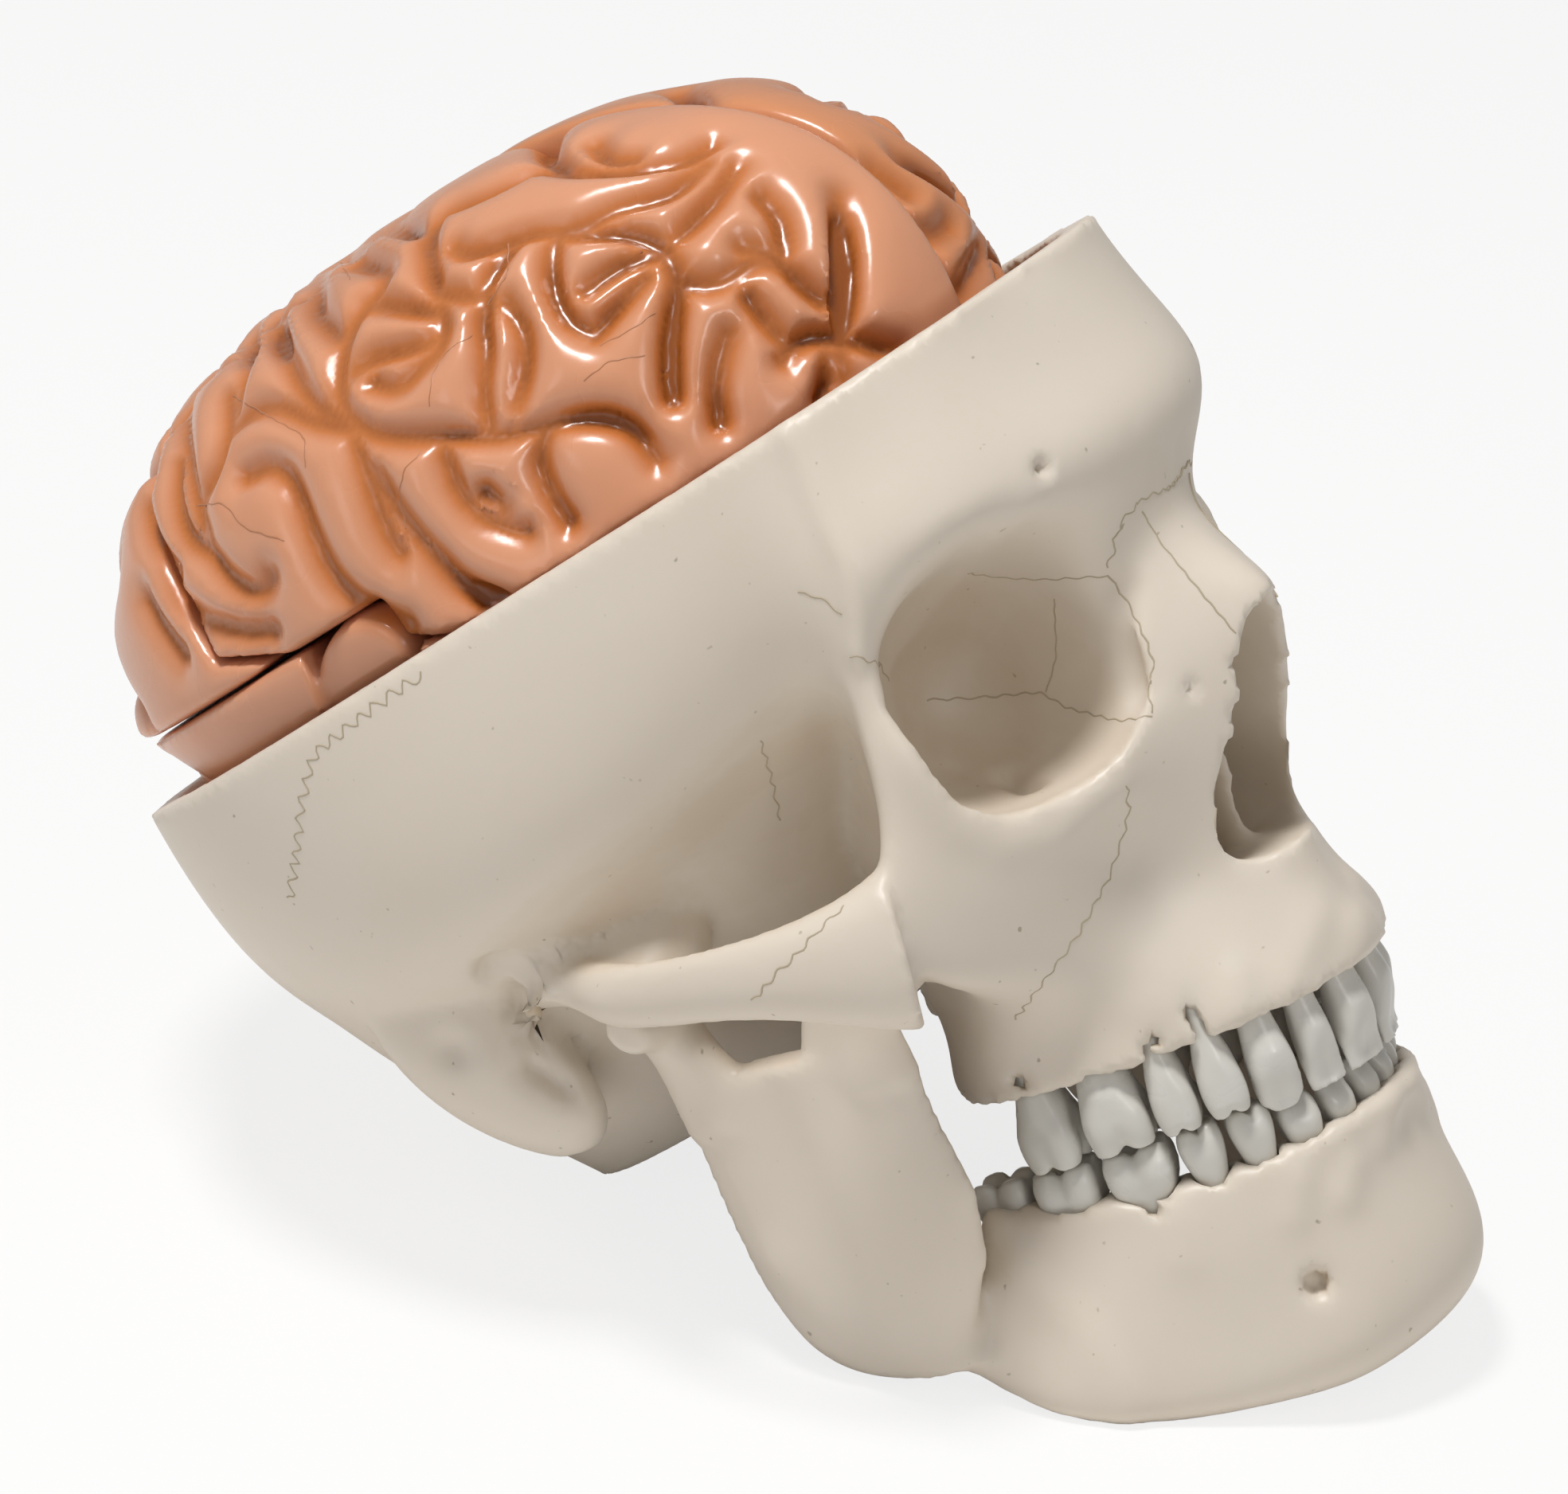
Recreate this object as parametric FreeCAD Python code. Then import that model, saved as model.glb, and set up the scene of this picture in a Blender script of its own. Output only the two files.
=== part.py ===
"""Anatomical skull and brain model, skull cap lifted off, in millimetres.

Built in the skull's own frame: x to the skull's left, y to the back, z up, with
the origin midway between the ear holes. At the end it is pitched so that it rests
on the jaw and the back of the skull, with z = 0 as the table.
"""
import FreeCAD
import Part
import Mesh
import math
import os

os.makedirs("parts", exist_ok=True)

# Cut rim and braincase
RIM_HEIGHT = 44.9            # height of the cut plane above the ear holes
RIM_TILT = 13.3              # slope of the cut plane, front edge up, degrees
RIM_FRONT = -86.5
RIM_BACK = 77.0
RIM_HALF_WIDTH = 68.0
WALL = 5.6                   # thickness of the cut bone
FLOOR_LEVEL = -76.0          # flat floor of the braincase, below the cut plane
FLOOR_WALL = 8.0

STANDING_FLAT = 2.0          # taken off where the base and the jaw stand on the table

# Foramen magnum
FORAMEN_Y = 12.0
FORAMEN_HALF_LENGTH = 15.0
FORAMEN_HALF_WIDTH = 13.0

# Orbits, nose and ear
ORBIT_RIM = (33.5, -81.0, 17.0)
ORBIT_APEX = (17.0, -55.0, 10.0)
ORBIT_HALF_WIDTH = 19.0
ORBIT_HALF_HEIGHT = 18.5
ORBIT_APEX_RADIUS = 5.0
NOSE_TOP = 8.0
NOSE_BOTTOM = -23.0
NOSE_HALF_WIDTH = 11.5
SEPTUM = 2.0
EAR_HOLE_RADIUS = 4.0

# Cheek arch, mastoid and jaw socket
ARCH_HALF_HEIGHT = 5.2
ARCH_HALF_THICKNESS = 3.2
MASTOID_TIP = (49.5, 7.0, -31.0)
HINGE_Y = -15.0
HINGE_Z = -13.0
CONDYLE_X = 50.0
CONDYLE_RADIUS = 5.2
CONDYLE_HALF_LENGTH = 9.0
JOINT_GAP = 0.4

# Jaw
JAW_HALF_THICKNESS = 6.0
CHIN_DEPTH = 4.5
RAMUS_HALF_THICKNESS = 3.4
MENTAL_FORAMEN_RADIUS = 1.6

# Teeth, widths along the arch from the midline back
UPPER_WIDTHS = [8.6, 6.8, 7.6, 7.0, 6.8, 10.2, 9.4]
LOWER_WIDTHS = [5.4, 5.9, 6.9, 7.0, 7.1, 11.0, 10.6, 9.8]
TOOTH_NAMES = ["incisor_1", "incisor_2", "canine", "premolar_1", "premolar_2",
               "molar_1", "molar_2", "molar_3"]
TOOTH_DEPTHS = [6.4, 6.0, 7.6, 8.4, 8.6, 10.2, 10.0, 9.2]
TOOTH_GAP = 0.5              # between neighbours in the arch
BITE_HEIGHT = -54.6          # where the two rows of teeth meet
BITE_GAP = 0.5
OVERBITE = 2.2               # upper front teeth reach below the bite
UPPER_ARCH = (29.0, 44.5, -48.5)
LOWER_ARCH = (28.0, 42.6, -46.5)
UPPER_GUM = -42.5
LOWER_GUM = -63.0
ROOT_DEPTH = 9.0
SOCKET_GAP = 0.3
CROWN_GAP = 0.2              # where bone stands beside a crown; under half of TOOTH_GAP

# Brain
BRAIN_TOP = 55.0             # above the cut plane
BRAIN_FRONT = -74.0          # at the cut plane
BRAIN_BACK = 74.5            # where it stands out over the cut rim
BRAIN_HALF_WIDTH = 59.0
BRAIN_CLEARANCE = 4.6        # to the braincase wall
PIECE_GAP = 0.3              # between two brain pieces, and under the cerebellum
TENTORIUM_LEVEL = 9.0        # flat seam over the cerebellum
TENTORIUM_FRONT = 26.0
CEREBELLUM_FRONT = 13.0      # clear of the stem
BRAIN_BASE_LEVEL = -46.0     # flat underside of the temporal lobes, on the stem
STEM_RADIUS = 9.5
STEM_TOP_Y = -12.0
FOLD_DEPTH = 3.6
FOLD_HALF_WIDTH = 4.0
GRID = 3.2                   # facet size of the folded surface
FACET_SAVING = 0.66          # share of facets taken out again where it is smooth
FACET_ERROR = 0.6


def vec(x, y, z):
    return FreeCAD.Vector(x, y, z)


def rim_point(x, y, level):
    """Point at a height over the sloping cut plane, below it where level is negative."""
    return vec(x, y, RIM_HEIGHT - y * math.tan(math.radians(RIM_TILT)) + level)


def closed_curve(points):
    curve = Part.BSplineCurve()
    curve.interpolate(Points=points, PeriodicFlag=True)
    return Part.Wire(curve.toShape())


def mirrored_curve(half):
    """Closed curve from one half outline that starts and ends on the midline."""
    other = [vec(-p.x, p.y, p.z) for p in reversed(half[1:-1])]
    return closed_curve(half + other)


def oval(centre, u, v, a, b, power=2.0, count=12):
    """Closed superellipse round a centre, half sizes a along u and b along v."""
    points = []
    for i in range(count):
        t = 2 * math.pi * i / count
        c = math.copysign(abs(math.cos(t)) ** (2 / power), math.cos(t))
        s = math.copysign(abs(math.sin(t)) ** (2 / power), math.sin(t))
        points.append(centre + u * (a * c) + v * (b * s))
    return closed_curve(points)


def loft(sections):
    return Part.makeLoft(sections, True, False)


def both_sides(shape):
    return [shape, shape.mirror(vec(0, 0, 0), vec(1, 0, 0))]


# Half outline of the braincase: share of its length, share of its half width
CASE_OUTLINE = [(0, 0), (0.02, 0.36), (0.10, 0.61), (0.21, 0.76), (0.38, 0.90),
                (0.60, 1.0), (0.80, 0.86), (0.94, 0.49), (1, 0)]

# Outer form: level under the cut, front, back, half width
CASE_SECTIONS = [
    (0, RIM_FRONT, RIM_BACK, RIM_HALF_WIDTH),
    (-14, RIM_FRONT - 4.5, RIM_BACK - 3, RIM_HALF_WIDTH + 1),
    (-29, RIM_FRONT - 3.5, RIM_BACK - 9, RIM_HALF_WIDTH),
    (-40, -74, 59.5, 64),
    (-54, -54, 52, 53),
    (-69, -42, 43.5, 41),
    (FLOOR_LEVEL - FLOOR_WALL, -26, 36, 25),
]

# Hollow inside it
CAVITY_SECTIONS = [
    (12, RIM_FRONT + WALL, RIM_BACK - WALL, RIM_HALF_WIDTH - WALL),
    (0, RIM_FRONT + WALL, RIM_BACK - WALL, RIM_HALF_WIDTH - WALL),
    (-14, RIM_FRONT + WALL - 3.5, RIM_BACK - WALL - 4, RIM_HALF_WIDTH - WALL + 0.5),
    (-22, RIM_FRONT + WALL + 8, RIM_BACK - WALL - 7, RIM_HALF_WIDTH - WALL - 1.5),
    (-30, -56, RIM_BACK - WALL - 11, RIM_HALF_WIDTH - WALL - 4),
    (-40, -42, 52, 53),
    (-52, -36, 43.5, 44),
    (-65, -26, 36, 32),
    (FLOOR_LEVEL, -14, 29, 20),
]


def case_section(level, front, back, half_width):
    half = []
    for along, across in CASE_OUTLINE:
        half.append(rim_point(half_width * across, front + (back - front) * along, level))
    return mirrored_curve(half)


# Horizontal sections of the face: height, then half outlines from the front round
FACE_SECTIONS = [
    (55, [(0, -87), (14, -86), (26, -82), (38, -73), (43, -64), (40, -54), (28, -42), (0, -40)]),
    (46, [(0, -94.5), (14, -93.5), (28, -88), (41.5, -78), (49, -68), (43, -55), (30, -42), (0, -40)]),
    (38, [(0, -98), (14, -96), (30, -89.5), (45, -79.5), (52.5, -69), (45, -57), (32, -42), (0, -38)]),
    (28, [(0, -92.5), (9, -90), (26, -84.5), (43, -76), (53.5, -65), (44, -56), (33, -42), (0, -36)]),
    (13, [(0, -102.5), (7, -98), (18, -88), (38, -77.5), (52.5, -64), (42, -56), (31, -42), (0, -35)]),
    (2, [(0, -103), (9, -97), (20, -88), (39, -75.5), (54, -62), (42, -56), (30, -41), (0, -35)]),
    (-9, [(0, -97.5), (12, -91.5), (26, -82), (42, -72), (57.5, -59), (45, -56), (30, -43), (0, -34)]),
    (-20, [(0, -95), (12.5, -88.5), (26, -79), (39, -70), (49, -62), (39, -55), (29, -42), (0, -34)]),
    (-28, [(0, -95), (13, -89), (24, -79.5), (33, -70), (37, -63), (33, -51), (27, -43), (0, -36)]),
    (-36, [(0, -97), (11, -93), (21, -85), (29, -72), (33.5, -59), (32.5, -48), (26, -42), (0, -39)]),
    (UPPER_GUM, [(0, -97.5), (11, -94.5), (21, -86.5), (29.5, -72), (34, -59), (33, -48), (26, -42),
                 (0, -39)]),
]


def face_block():
    sections = []
    for height, outline in FACE_SECTIONS:
        sections.append(mirrored_curve([vec(x, y, height) for x, y in outline]))
    return loft(sections)


def orbit_cut():
    """Cone from the eye opening back to its apex, run out in front of the face."""
    rim = vec(*ORBIT_RIM)
    apex = vec(*ORBIT_APEX)
    axis = (rim - apex).normalize()
    side = vec(0, 0, 1).cross(axis).normalize()
    up = axis.cross(side).normalize()
    depth = (rim - apex).Length
    sections = []
    for share, size in [(0, 0), (0.3, 0.48), (0.7, 0.88), (1.0, 1.0), (1.8, 1.12)]:
        a = ORBIT_APEX_RADIUS + (ORBIT_HALF_WIDTH - ORBIT_APEX_RADIUS) * size
        b = ORBIT_APEX_RADIUS + (ORBIT_HALF_HEIGHT - ORBIT_APEX_RADIUS) * size
        sections.append(oval(apex + axis * (depth * share), side, up, a, b, 2.6))
    return loft(sections)


def nose_cut():
    """Pear-shaped passage from front to back, in two halves beside the septum."""
    height = NOSE_TOP - NOSE_BOTTOM
    half = [(0, 1.0), (0.45, 0.93), (0.72, 0.6), (1.0, 0.22), (0.75, 0.02), (0, 0.0)]
    sections = []
    for y, scale in [(-125, 1.0), (-78, 1.0), (-55, 0.75), (-30, 0.38)]:
        points = []
        for across, up in half:
            points.append(vec(NOSE_HALF_WIDTH * across * scale, y, NOSE_BOTTOM + height * up * scale))
        sections.append(mirrored_curve(points))
    passage = loft(sections)
    septum = Part.makeBox(SEPTUM, 60, 2 * height, vec(-SEPTUM / 2, -86, NOSE_BOTTOM - height / 2))
    return passage.cut(septum)


def palate_cut():
    """Vault of the mouth inside the row of upper teeth."""
    a, b, centre = UPPER_ARCH
    sections = []
    for height, inset in [(UPPER_GUM - 2, 6.5), (UPPER_GUM + 3, 7.5), (UPPER_GUM + 9, 13)]:
        width = a - inset
        front = centre - b + inset
        half = [vec(0, front, height), vec(width * 0.55, front + 5, height),
                vec(width * 0.9, front + 18, height), vec(width, centre + 4, height),
                vec(width, -30, height), vec(0, -30, height)]
        sections.append(mirrored_curve(half))
    return loft(sections)


def cheek_arch():
    path = [((54, -60, -11), 7, 12), ((61, -49, -9.5), 4.4, 7.6), ((64, -37, -7.8), 3.2, 5.4),
            ((63, -24, -7.2), 3.2, 4.8), ((58.5, -11, -6), 5.5, 5.0), ((54, -2, -5), 8, 6)]
    sections = []
    for i, (centre, thick, high) in enumerate(path):
        before = vec(*path[max(i - 1, 0)][0])
        after = vec(*path[min(i + 1, len(path) - 1)][0])
        along = (after - before).normalize()
        side = along.cross(vec(0, 0, 1)).normalize()
        up = side.cross(along).normalize()
        a = thick * ARCH_HALF_THICKNESS / 3.2
        b = high * ARCH_HALF_HEIGHT / 5.2
        sections.append(oval(vec(*centre), side, up, a, b))
    return loft(sections)


def stack(levels):
    """Loft of level ovals: height, centre x and y, half sizes in x and y."""
    sections = []
    for z, x, y, a, b in levels:
        sections.append(oval(vec(x, y, z), vec(1, 0, 0), vec(0, 1, 0), a, b))
    return loft(sections)


def barrel(radius_gap):
    """Rounded roller on the jaw's hinge line; the socket is the same with a gap."""
    radius = CONDYLE_RADIUS + radius_gap
    length = CONDYLE_HALF_LENGTH + radius_gap
    start = vec(CONDYLE_X - length, 0, radius * 0.62)
    middle = vec(CONDYLE_X, 0, radius)
    end = vec(CONDYLE_X + length, 0, radius * 0.62)
    arc = Part.Arc(start, middle, end).toShape()
    down = Part.LineSegment(end, vec(end.x, 0, 0)).toShape()
    back = Part.LineSegment(vec(end.x, 0, 0), vec(start.x, 0, 0)).toShape()
    up = Part.LineSegment(vec(start.x, 0, 0), start).toShape()
    face = Part.Face(Part.Wire([arc, down, back, up]))
    roller = face.revolve(vec(0, 0, 0), vec(1, 0, 0), 360)
    roller.translate(vec(0, HINGE_Y, HINGE_Z))
    return Part.Solid(roller) if roller.ShapeType == "Shell" else roller


def build_cranium():
    case = loft([case_section(*row) for row in CASE_SECTIONS])
    cavity = loft([case_section(*row) for row in CAVITY_SECTIONS])
    bone = case.fuse(face_block())
    mx, my, mz = MASTOID_TIP
    mastoid = stack([(mz + 38, mx + 3, my + 8, 5, 10), (mz + 24, mx + 3, my + 8, 8.5, 14),
                     (mz + 12, mx + 2.5, my + 4, 8, 12),
                     (mz + 4, mx + 1, my + 1, 5.5, 8), (mz, mx, my, 2.5, 3.5)])
    socket_bone = stack([(HINGE_Z + 17, 40, -10, 5, 9), (HINGE_Z + 10, 47, -12, 10.5, 13),
                         (HINGE_Z + 4.5, 50, -13, 11.5, 12.5)])
    plate = stack([(-6, 15, -42, 4, 8), (-30, 15, -41, 2, 7), (-43, 17, -40, 1.6, 5)])
    condyle = stack([(-30, 15, 2, 7, 11), (-37, 14.5, 1, 5.5, 9), (-41, 14, 0, 3, 5)])
    for lump in (mastoid, socket_bone, plate, condyle, cheek_arch()):
        bone = bone.multiFuse(both_sides(lump))
    body = stack([(-2, 0, -36, 12, 12), (-16, 0, -30, 12, 13), (-30, 0, -14, 11, 14)])
    bone = bone.fuse(body)
    foramen = oval(rim_point(0, FORAMEN_Y, FLOOR_LEVEL + 4), vec(1, 0, 0), vec(0, 1, 0),
                   FORAMEN_HALF_WIDTH, FORAMEN_HALF_LENGTH)
    hole = Part.Face(foramen).extrude(vec(0, 0, -40))
    ear = Part.makeCylinder(EAR_HOLE_RADIUS, 12, vec(RIM_HALF_WIDTH - 9, 0, -1), vec(1, 0, 0))
    cuts = [cavity, hole, nose_cut(), palate_cut()]
    cuts += both_sides(orbit_cut()) + both_sides(barrel(JOINT_GAP)) + both_sides(ear)
    for tool in cuts:
        bone = bone.cut(tool)
    return bone


def arch_point(arch, distance):
    """Point on a dental arch a given way along it from the midline, and its heading."""
    a, b, centre = arch
    steps = 200
    x, y, run = 0.0, centre - b, 0.0
    for i in range(1, steps + 1):
        t = math.pi / 2 * i / steps
        nx, ny = a * math.sin(t), centre - b * math.cos(t)
        step = math.hypot(nx - x, ny - y)
        if run + step >= distance:
            share = (distance - run) / step
            heading = vec(nx - x, ny - y, 0).normalize()
            return vec(x + (nx - x) * share, y + (ny - y) * share, 0), heading
        x, y, run = nx, ny, run + step
    return vec(x, y + distance - run, 0), vec(0, 1, 0)


def tooth_levels(kind, width, upper):
    """Levels of one tooth from root tip to biting edge: height, half width, half depth."""
    sign = -1 if upper else 1
    gum = UPPER_GUM if upper else LOWER_GUM
    edge = BITE_HEIGHT - sign * BITE_GAP / 2
    depth = TOOTH_DEPTHS[kind] if upper else TOOTH_DEPTHS[kind] * (0.92 if kind > 2 else 0.9)
    if upper and kind < 3:
        edge = edge + sign * (OVERBITE if kind < 2 else OVERBITE + 0.4)
    if not upper and kind < 3:
        edge = edge - sign * 0.8
    w, d = width / 2, depth / 2
    neck_w, neck_d = w * 0.70, d * 0.76
    tip_w, tip_d = neck_w * 0.5, neck_d * 0.5
    height = edge - gum
    root = [(gum - sign * ROOT_DEPTH, tip_w, tip_d), (gum - sign * ROOT_DEPTH * 0.5, neck_w * 0.86, neck_d * 0.88),
            (gum, neck_w, neck_d)]
    if kind < 2:
        crown = [(gum + height * 0.28, w * 0.80, d * 0.98), (gum + height * 0.65, w * 0.97, d * 0.62), (edge, w * 0.98, 0.9)]
    elif kind == 2:
        crown = [(gum + height * 0.30, w * 0.86, d), (gum + height * 0.70, w * 0.97, d * 0.72), (edge, w * 0.30, 0.9)]
    else:
        crown = [(gum + height * 0.28, w * 0.84, d * 0.92), (gum + height * 0.66, w, d), (edge, w * 0.80, d * 0.72)]
    return root, crown


def tooth_solid(place, heading, levels, gap=0.0, power=2.4):
    out = heading.cross(vec(0, 0, 1)).normalize()
    sections = []
    for z, a, b in levels:
        sections.append(oval(vec(place.x, place.y, z), heading, out, a + gap, b + gap, power, 8))
    return loft(sections)


def build_teeth():
    """Every tooth with its name, solid and the socket that takes its root."""
    teeth = []
    for upper in (True, False):
        widths = UPPER_WIDTHS if upper else LOWER_WIDTHS
        arch = UPPER_ARCH if upper else LOWER_ARCH
        run = 0.0
        for kind, width in enumerate(widths):
            place, heading = arch_point(arch, run + width / 2)
            run += width
            root, crown = tooth_levels(kind, width - TOOTH_GAP, upper)
            solid = tooth_solid(place, heading, root + crown)
            sign = -1 if upper else 1
            deep = (root[0][0] - sign * SOCKET_GAP, root[0][1], root[0][2])
            over = (root[-1][0] + sign * 2.0, root[-1][1], root[-1][2])
            socket = tooth_solid(place, heading, [deep] + root[1:] + [over], SOCKET_GAP)
            clearing = tooth_solid(place, heading, root + crown, CROWN_GAP)
            row = "upper" if upper else "lower"
            shapes = zip(("left", "right"), both_sides(solid), both_sides(socket), both_sides(clearing))
            for side, tooth, *pockets in shapes:
                teeth.append((f"{row}_{side}_{TOOTH_NAMES[kind]}", tooth, pockets, upper))
    return teeth


# Jaw stations from the chin back: gum point, lower border point, outward lean,
# chin share, half width at the gum, share of the jaw's thickness
JAW_STATIONS = [
    ((0, -89.5, -63.5), (0, -81.8, -97.5), (0, -1), 1.0, 5.6, 1.0),
    ((10.5, -86.5, -63.5), (14.5, -77.5, -97.5), (0.48, -0.88), 0.55, 5.4, 1.0),
    ((18.5, -78.5, -63.5), (25, -66.5, -95.5), (0.83, -0.56), 0, 5.4, 1.0),
    ((24.5, -66.5, -63), (32.5, -55, -92), (0.92, -0.39), 0, 6.0, 1.0),
    ((28.5, -53, -61.5), (38.5, -44, -85), (0.93, -0.36), 0, 6.4, 0.92),
    ((32, -42, -59), (43, -36, -76), (0.95, -0.30), 0, 5.4, 0.66),
]


def jaw_section(gum, border, normal, chin, top, share):
    t, b, n = vec(*gum), vec(*border), vec(normal[0], normal[1], 0)
    h = JAW_HALF_THICKNESS * share
    c = CHIN_DEPTH * chin
    return closed_curve([
        t + n * top * 0.8, t * 0.7 + b * 0.3 + n * h * 0.95, t * 0.32 + b * 0.68 + n * (h + c),
        b + n * (0.6 * h + c * 0.5), b - n * 0.6 * h, t * 0.35 + b * 0.65 - n * h,
        t * 0.7 + b * 0.3 - n * h, t - n * top * 0.8])


def flip(point):
    return (-point[0],) + tuple(point[1:])


def build_jaw():
    stations = [(flip(g), flip(b), flip(n), *rest) for g, b, n, *rest in reversed(JAW_STATIONS[1:])]
    body = loft([jaw_section(*row) for row in stations + JAW_STATIONS])
    t = RAMUS_HALF_THICKNESS
    ramus = stack([(-76, 43, -37, t + 0.6, 7), (-69, 44, -28.5, t + 1, 14), (-60, 45, -30, t + 1.2, 18.5),
                   (-47, 46, -30.5, t + 0.4, 20), (-34, 46.5, -30, t, 19.5), (-25, 47, -29.5, t, 20)])
    coronoid = stack([(-32, 46.5, -41, t, 9), (-24, 47, -41.5, t, 8), (-16, 47, -43, t * 0.8, 5.5),
                      (-9, 47, -45, t * 0.5, 2.4)])
    neck = stack([(-34, 46.5, -18, t, 8), (-24, 47.5, -16, t, 6), (-17, 49, -15, t + 2.4, 4.2),
                  (HINGE_Z, CONDYLE_X, HINGE_Y, t + 4, 4)])
    jaw = body
    for lump in (ramus, coronoid, neck, barrel(0)):
        jaw = jaw.multiFuse(both_sides(lump))
    hole = Part.makeCylinder(MENTAL_FORAMEN_RADIUS, 6, vec(22, -90, -81), vec(-0.25, 1, 0))
    hole.translate(vec(1.5, 3.5, 0))
    for tool in both_sides(hole):
        jaw = jaw.cut(tool)
    return jaw


# Main furrows of one half: degrees round from the front, degrees up from the cut
FURROWS = [
    [(38, -8), (60, 0), (85, 8), (108, 18)],
    [(70, 72), (76, 52), (80, 32), (78, 14)],
    [(52, 70), (60, 50), (63, 32), (62, 14)],
    [(95, 72), (97, 52), (98, 34), (96, 20)],
    [(12, 42), (28, 55), (45, 66)],
    [(18, 14), (36, 26), (52, 38)],
    [(104, 36), (125, 46), (145, 48), (160, 40)],
    [(62, -18), (90, -6), (115, 6), (130, 22)],
    [(80, -24), (110, -14), (135, -4)],
    [(140, 18), (160, 14), (172, 6)],
    [(150, 32), (152, 18), (150, 2)],
    [(165, 56), (155, 46), (148, 36)],
    [(118, 70), (135, 60)],
    [(8, 18), (24, 6), (38, 4)],
    [(118, 34), (122, 20), (128, 8)],
    [(30, 40), (34, 54)],
]


def direction(round_deg, up_deg):
    a, e = math.radians(round_deg), math.radians(up_deg)
    return (math.sin(a) * math.cos(e), -math.cos(a) * math.cos(e), math.sin(e))


def furrow_segments():
    segments = []
    for furrow in FURROWS:
        points = [direction(*p) for p in furrow]
        segments += list(zip(points, points[1:]))
    return segments


SEGMENTS = furrow_segments()
TAN = math.tan(math.radians(RIM_TILT))


def furrow_distance(d):
    """Chord from a unit direction to the nearest furrow, on the unit sphere."""
    best = 9.0
    for a, b in SEGMENTS:
        ux, uy, uz = b[0] - a[0], b[1] - a[1], b[2] - a[2]
        wx, wy, wz = d[0] - a[0], d[1] - a[1], d[2] - a[2]
        share = (wx * ux + wy * uy + wz * uz) / (ux * ux + uy * uy + uz * uz)
        share = min(1.0, max(0.0, share))
        ex, ey, ez = wx - ux * share, wy - uy * share, wz - uz * share
        best = min(best, ex * ex + ey * ey + ez * ez)
    return math.sqrt(best)


def brain_outline(level):
    """Front, back and half width of the brain at a level from the cut plane."""
    if level >= 0:
        lean = 12.0 * (level / BRAIN_TOP) ** 1.5
        over_rim = RIM_BACK - WALL - BRAIN_CLEARANCE + 0.7 * level
        return BRAIN_FRONT + lean, min(BRAIN_BACK, over_rim) + lean * 0.5, BRAIN_HALF_WIDTH
    rows = [row for row in CAVITY_SECTIONS if row[0] <= 0]
    for upper, lower in zip(rows, rows[1:]):
        if level >= lower[0]:
            break
    share = min(1.0, (upper[0] - level) / (upper[0] - lower[0]))
    front, back, half = [a + (b - a) * share for a, b in zip(upper[1:], lower[1:])]
    front = max(front + BRAIN_CLEARANCE, BRAIN_FRONT)
    return front, back - BRAIN_CLEARANCE, min(half - BRAIN_CLEARANCE, BRAIN_HALF_WIDTH)


def brain_field(x, y, level):
    """Signed way to the folded brain surface, negative inside."""
    front, back, half = brain_outline(level)
    middle, reach = (front + back) / 2, (back - front) / 2
    egg = 1.0 - 0.16 * min(1.2, max(0.0, (middle - y) / reach)) ** 1.5
    across = (abs(x) / (half * egg)) ** 2.3 + (abs(y - middle) / reach) ** 2.3
    up = (max(level, 0.0) / BRAIN_TOP) ** 2.6
    scale = (across ** (2.6 / 2.3) + up) ** (1 / 2.6)
    radius = math.sqrt(x * x + (y - middle) ** 2 + max(level, 0.0) ** 2)
    value = radius * (1 - 1 / max(scale, 0.05))
    if -8 < value < 5:
        size = math.sqrt(x * x + y * y + level * level)
        away = furrow_distance((abs(x) / size, y / size, level / size)) * size
        if away < FOLD_HALF_WIDTH:
            value += FOLD_DEPTH * (1 - away / FOLD_HALF_WIDTH) ** 1.3
    return value


def lobe_field(lobe):
    """Field of one brain piece on the skull's right or left, cut by its seams."""
    half_gap = PIECE_GAP / 2

    def field(x, y, level, folded):
        low = (0.35 * (y + 50) - 14 - level) / math.hypot(1, 0.35)
        back = ((y - 30) - (level - 14) * 0.52) / math.hypot(1, 0.52)
        behind = (y - TENTORIUM_FRONT - 0.3 * (level - TENTORIUM_LEVEL) + 0.5 * abs(x)) / math.hypot(1, 0.6)
        under = TENTORIUM_LEVEL - level
        side = half_gap - x
        seat = FLOOR_LEVEL + PIECE_GAP - level
        if lobe == "cerebellum":
            front = max(CEREBELLUM_FRONT - y, half_gap + 0.12 * abs(x) - behind)
            return max(folded, side, half_gap - under, front, seat)
        notch = min(under, behind) + half_gap
        if lobe == "frontoparietal":
            return max(folded, side, low + half_gap, back + half_gap, notch)
        rest = min(half_gap - low, half_gap - back)
        return max(folded, side, rest, notch, BRAIN_BASE_LEVEL - level)
    return field


def folded_grid():
    """Brain field on a grid of points over the right half, shared by its pieces."""
    nx = int(BRAIN_HALF_WIDTH / GRID) + 4
    ny = int((BRAIN_BACK - BRAIN_FRONT + 14) / GRID) + 4
    nz = int((BRAIN_TOP - FLOOR_LEVEL) / GRID) + 5
    grid = {}
    for i in range(nx):
        for j in range(ny):
            for k in range(nz):
                x, y = (i - 1.4) * GRID, BRAIN_FRONT - 8 + j * GRID
                level = FLOOR_LEVEL - 5 + k * GRID
                grid[i, j, k] = (x, y, level, brain_field(x, y, level))
    return grid, nx, ny, nz


CORNERS = [(a, b, c) for a in (0, 1) for b in (0, 1) for c in (0, 1)]
EDGES = [(p, q) for p in CORNERS for q in CORNERS if p < q and sum(abs(m - n) for m, n in zip(p, q)) == 1]


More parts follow.
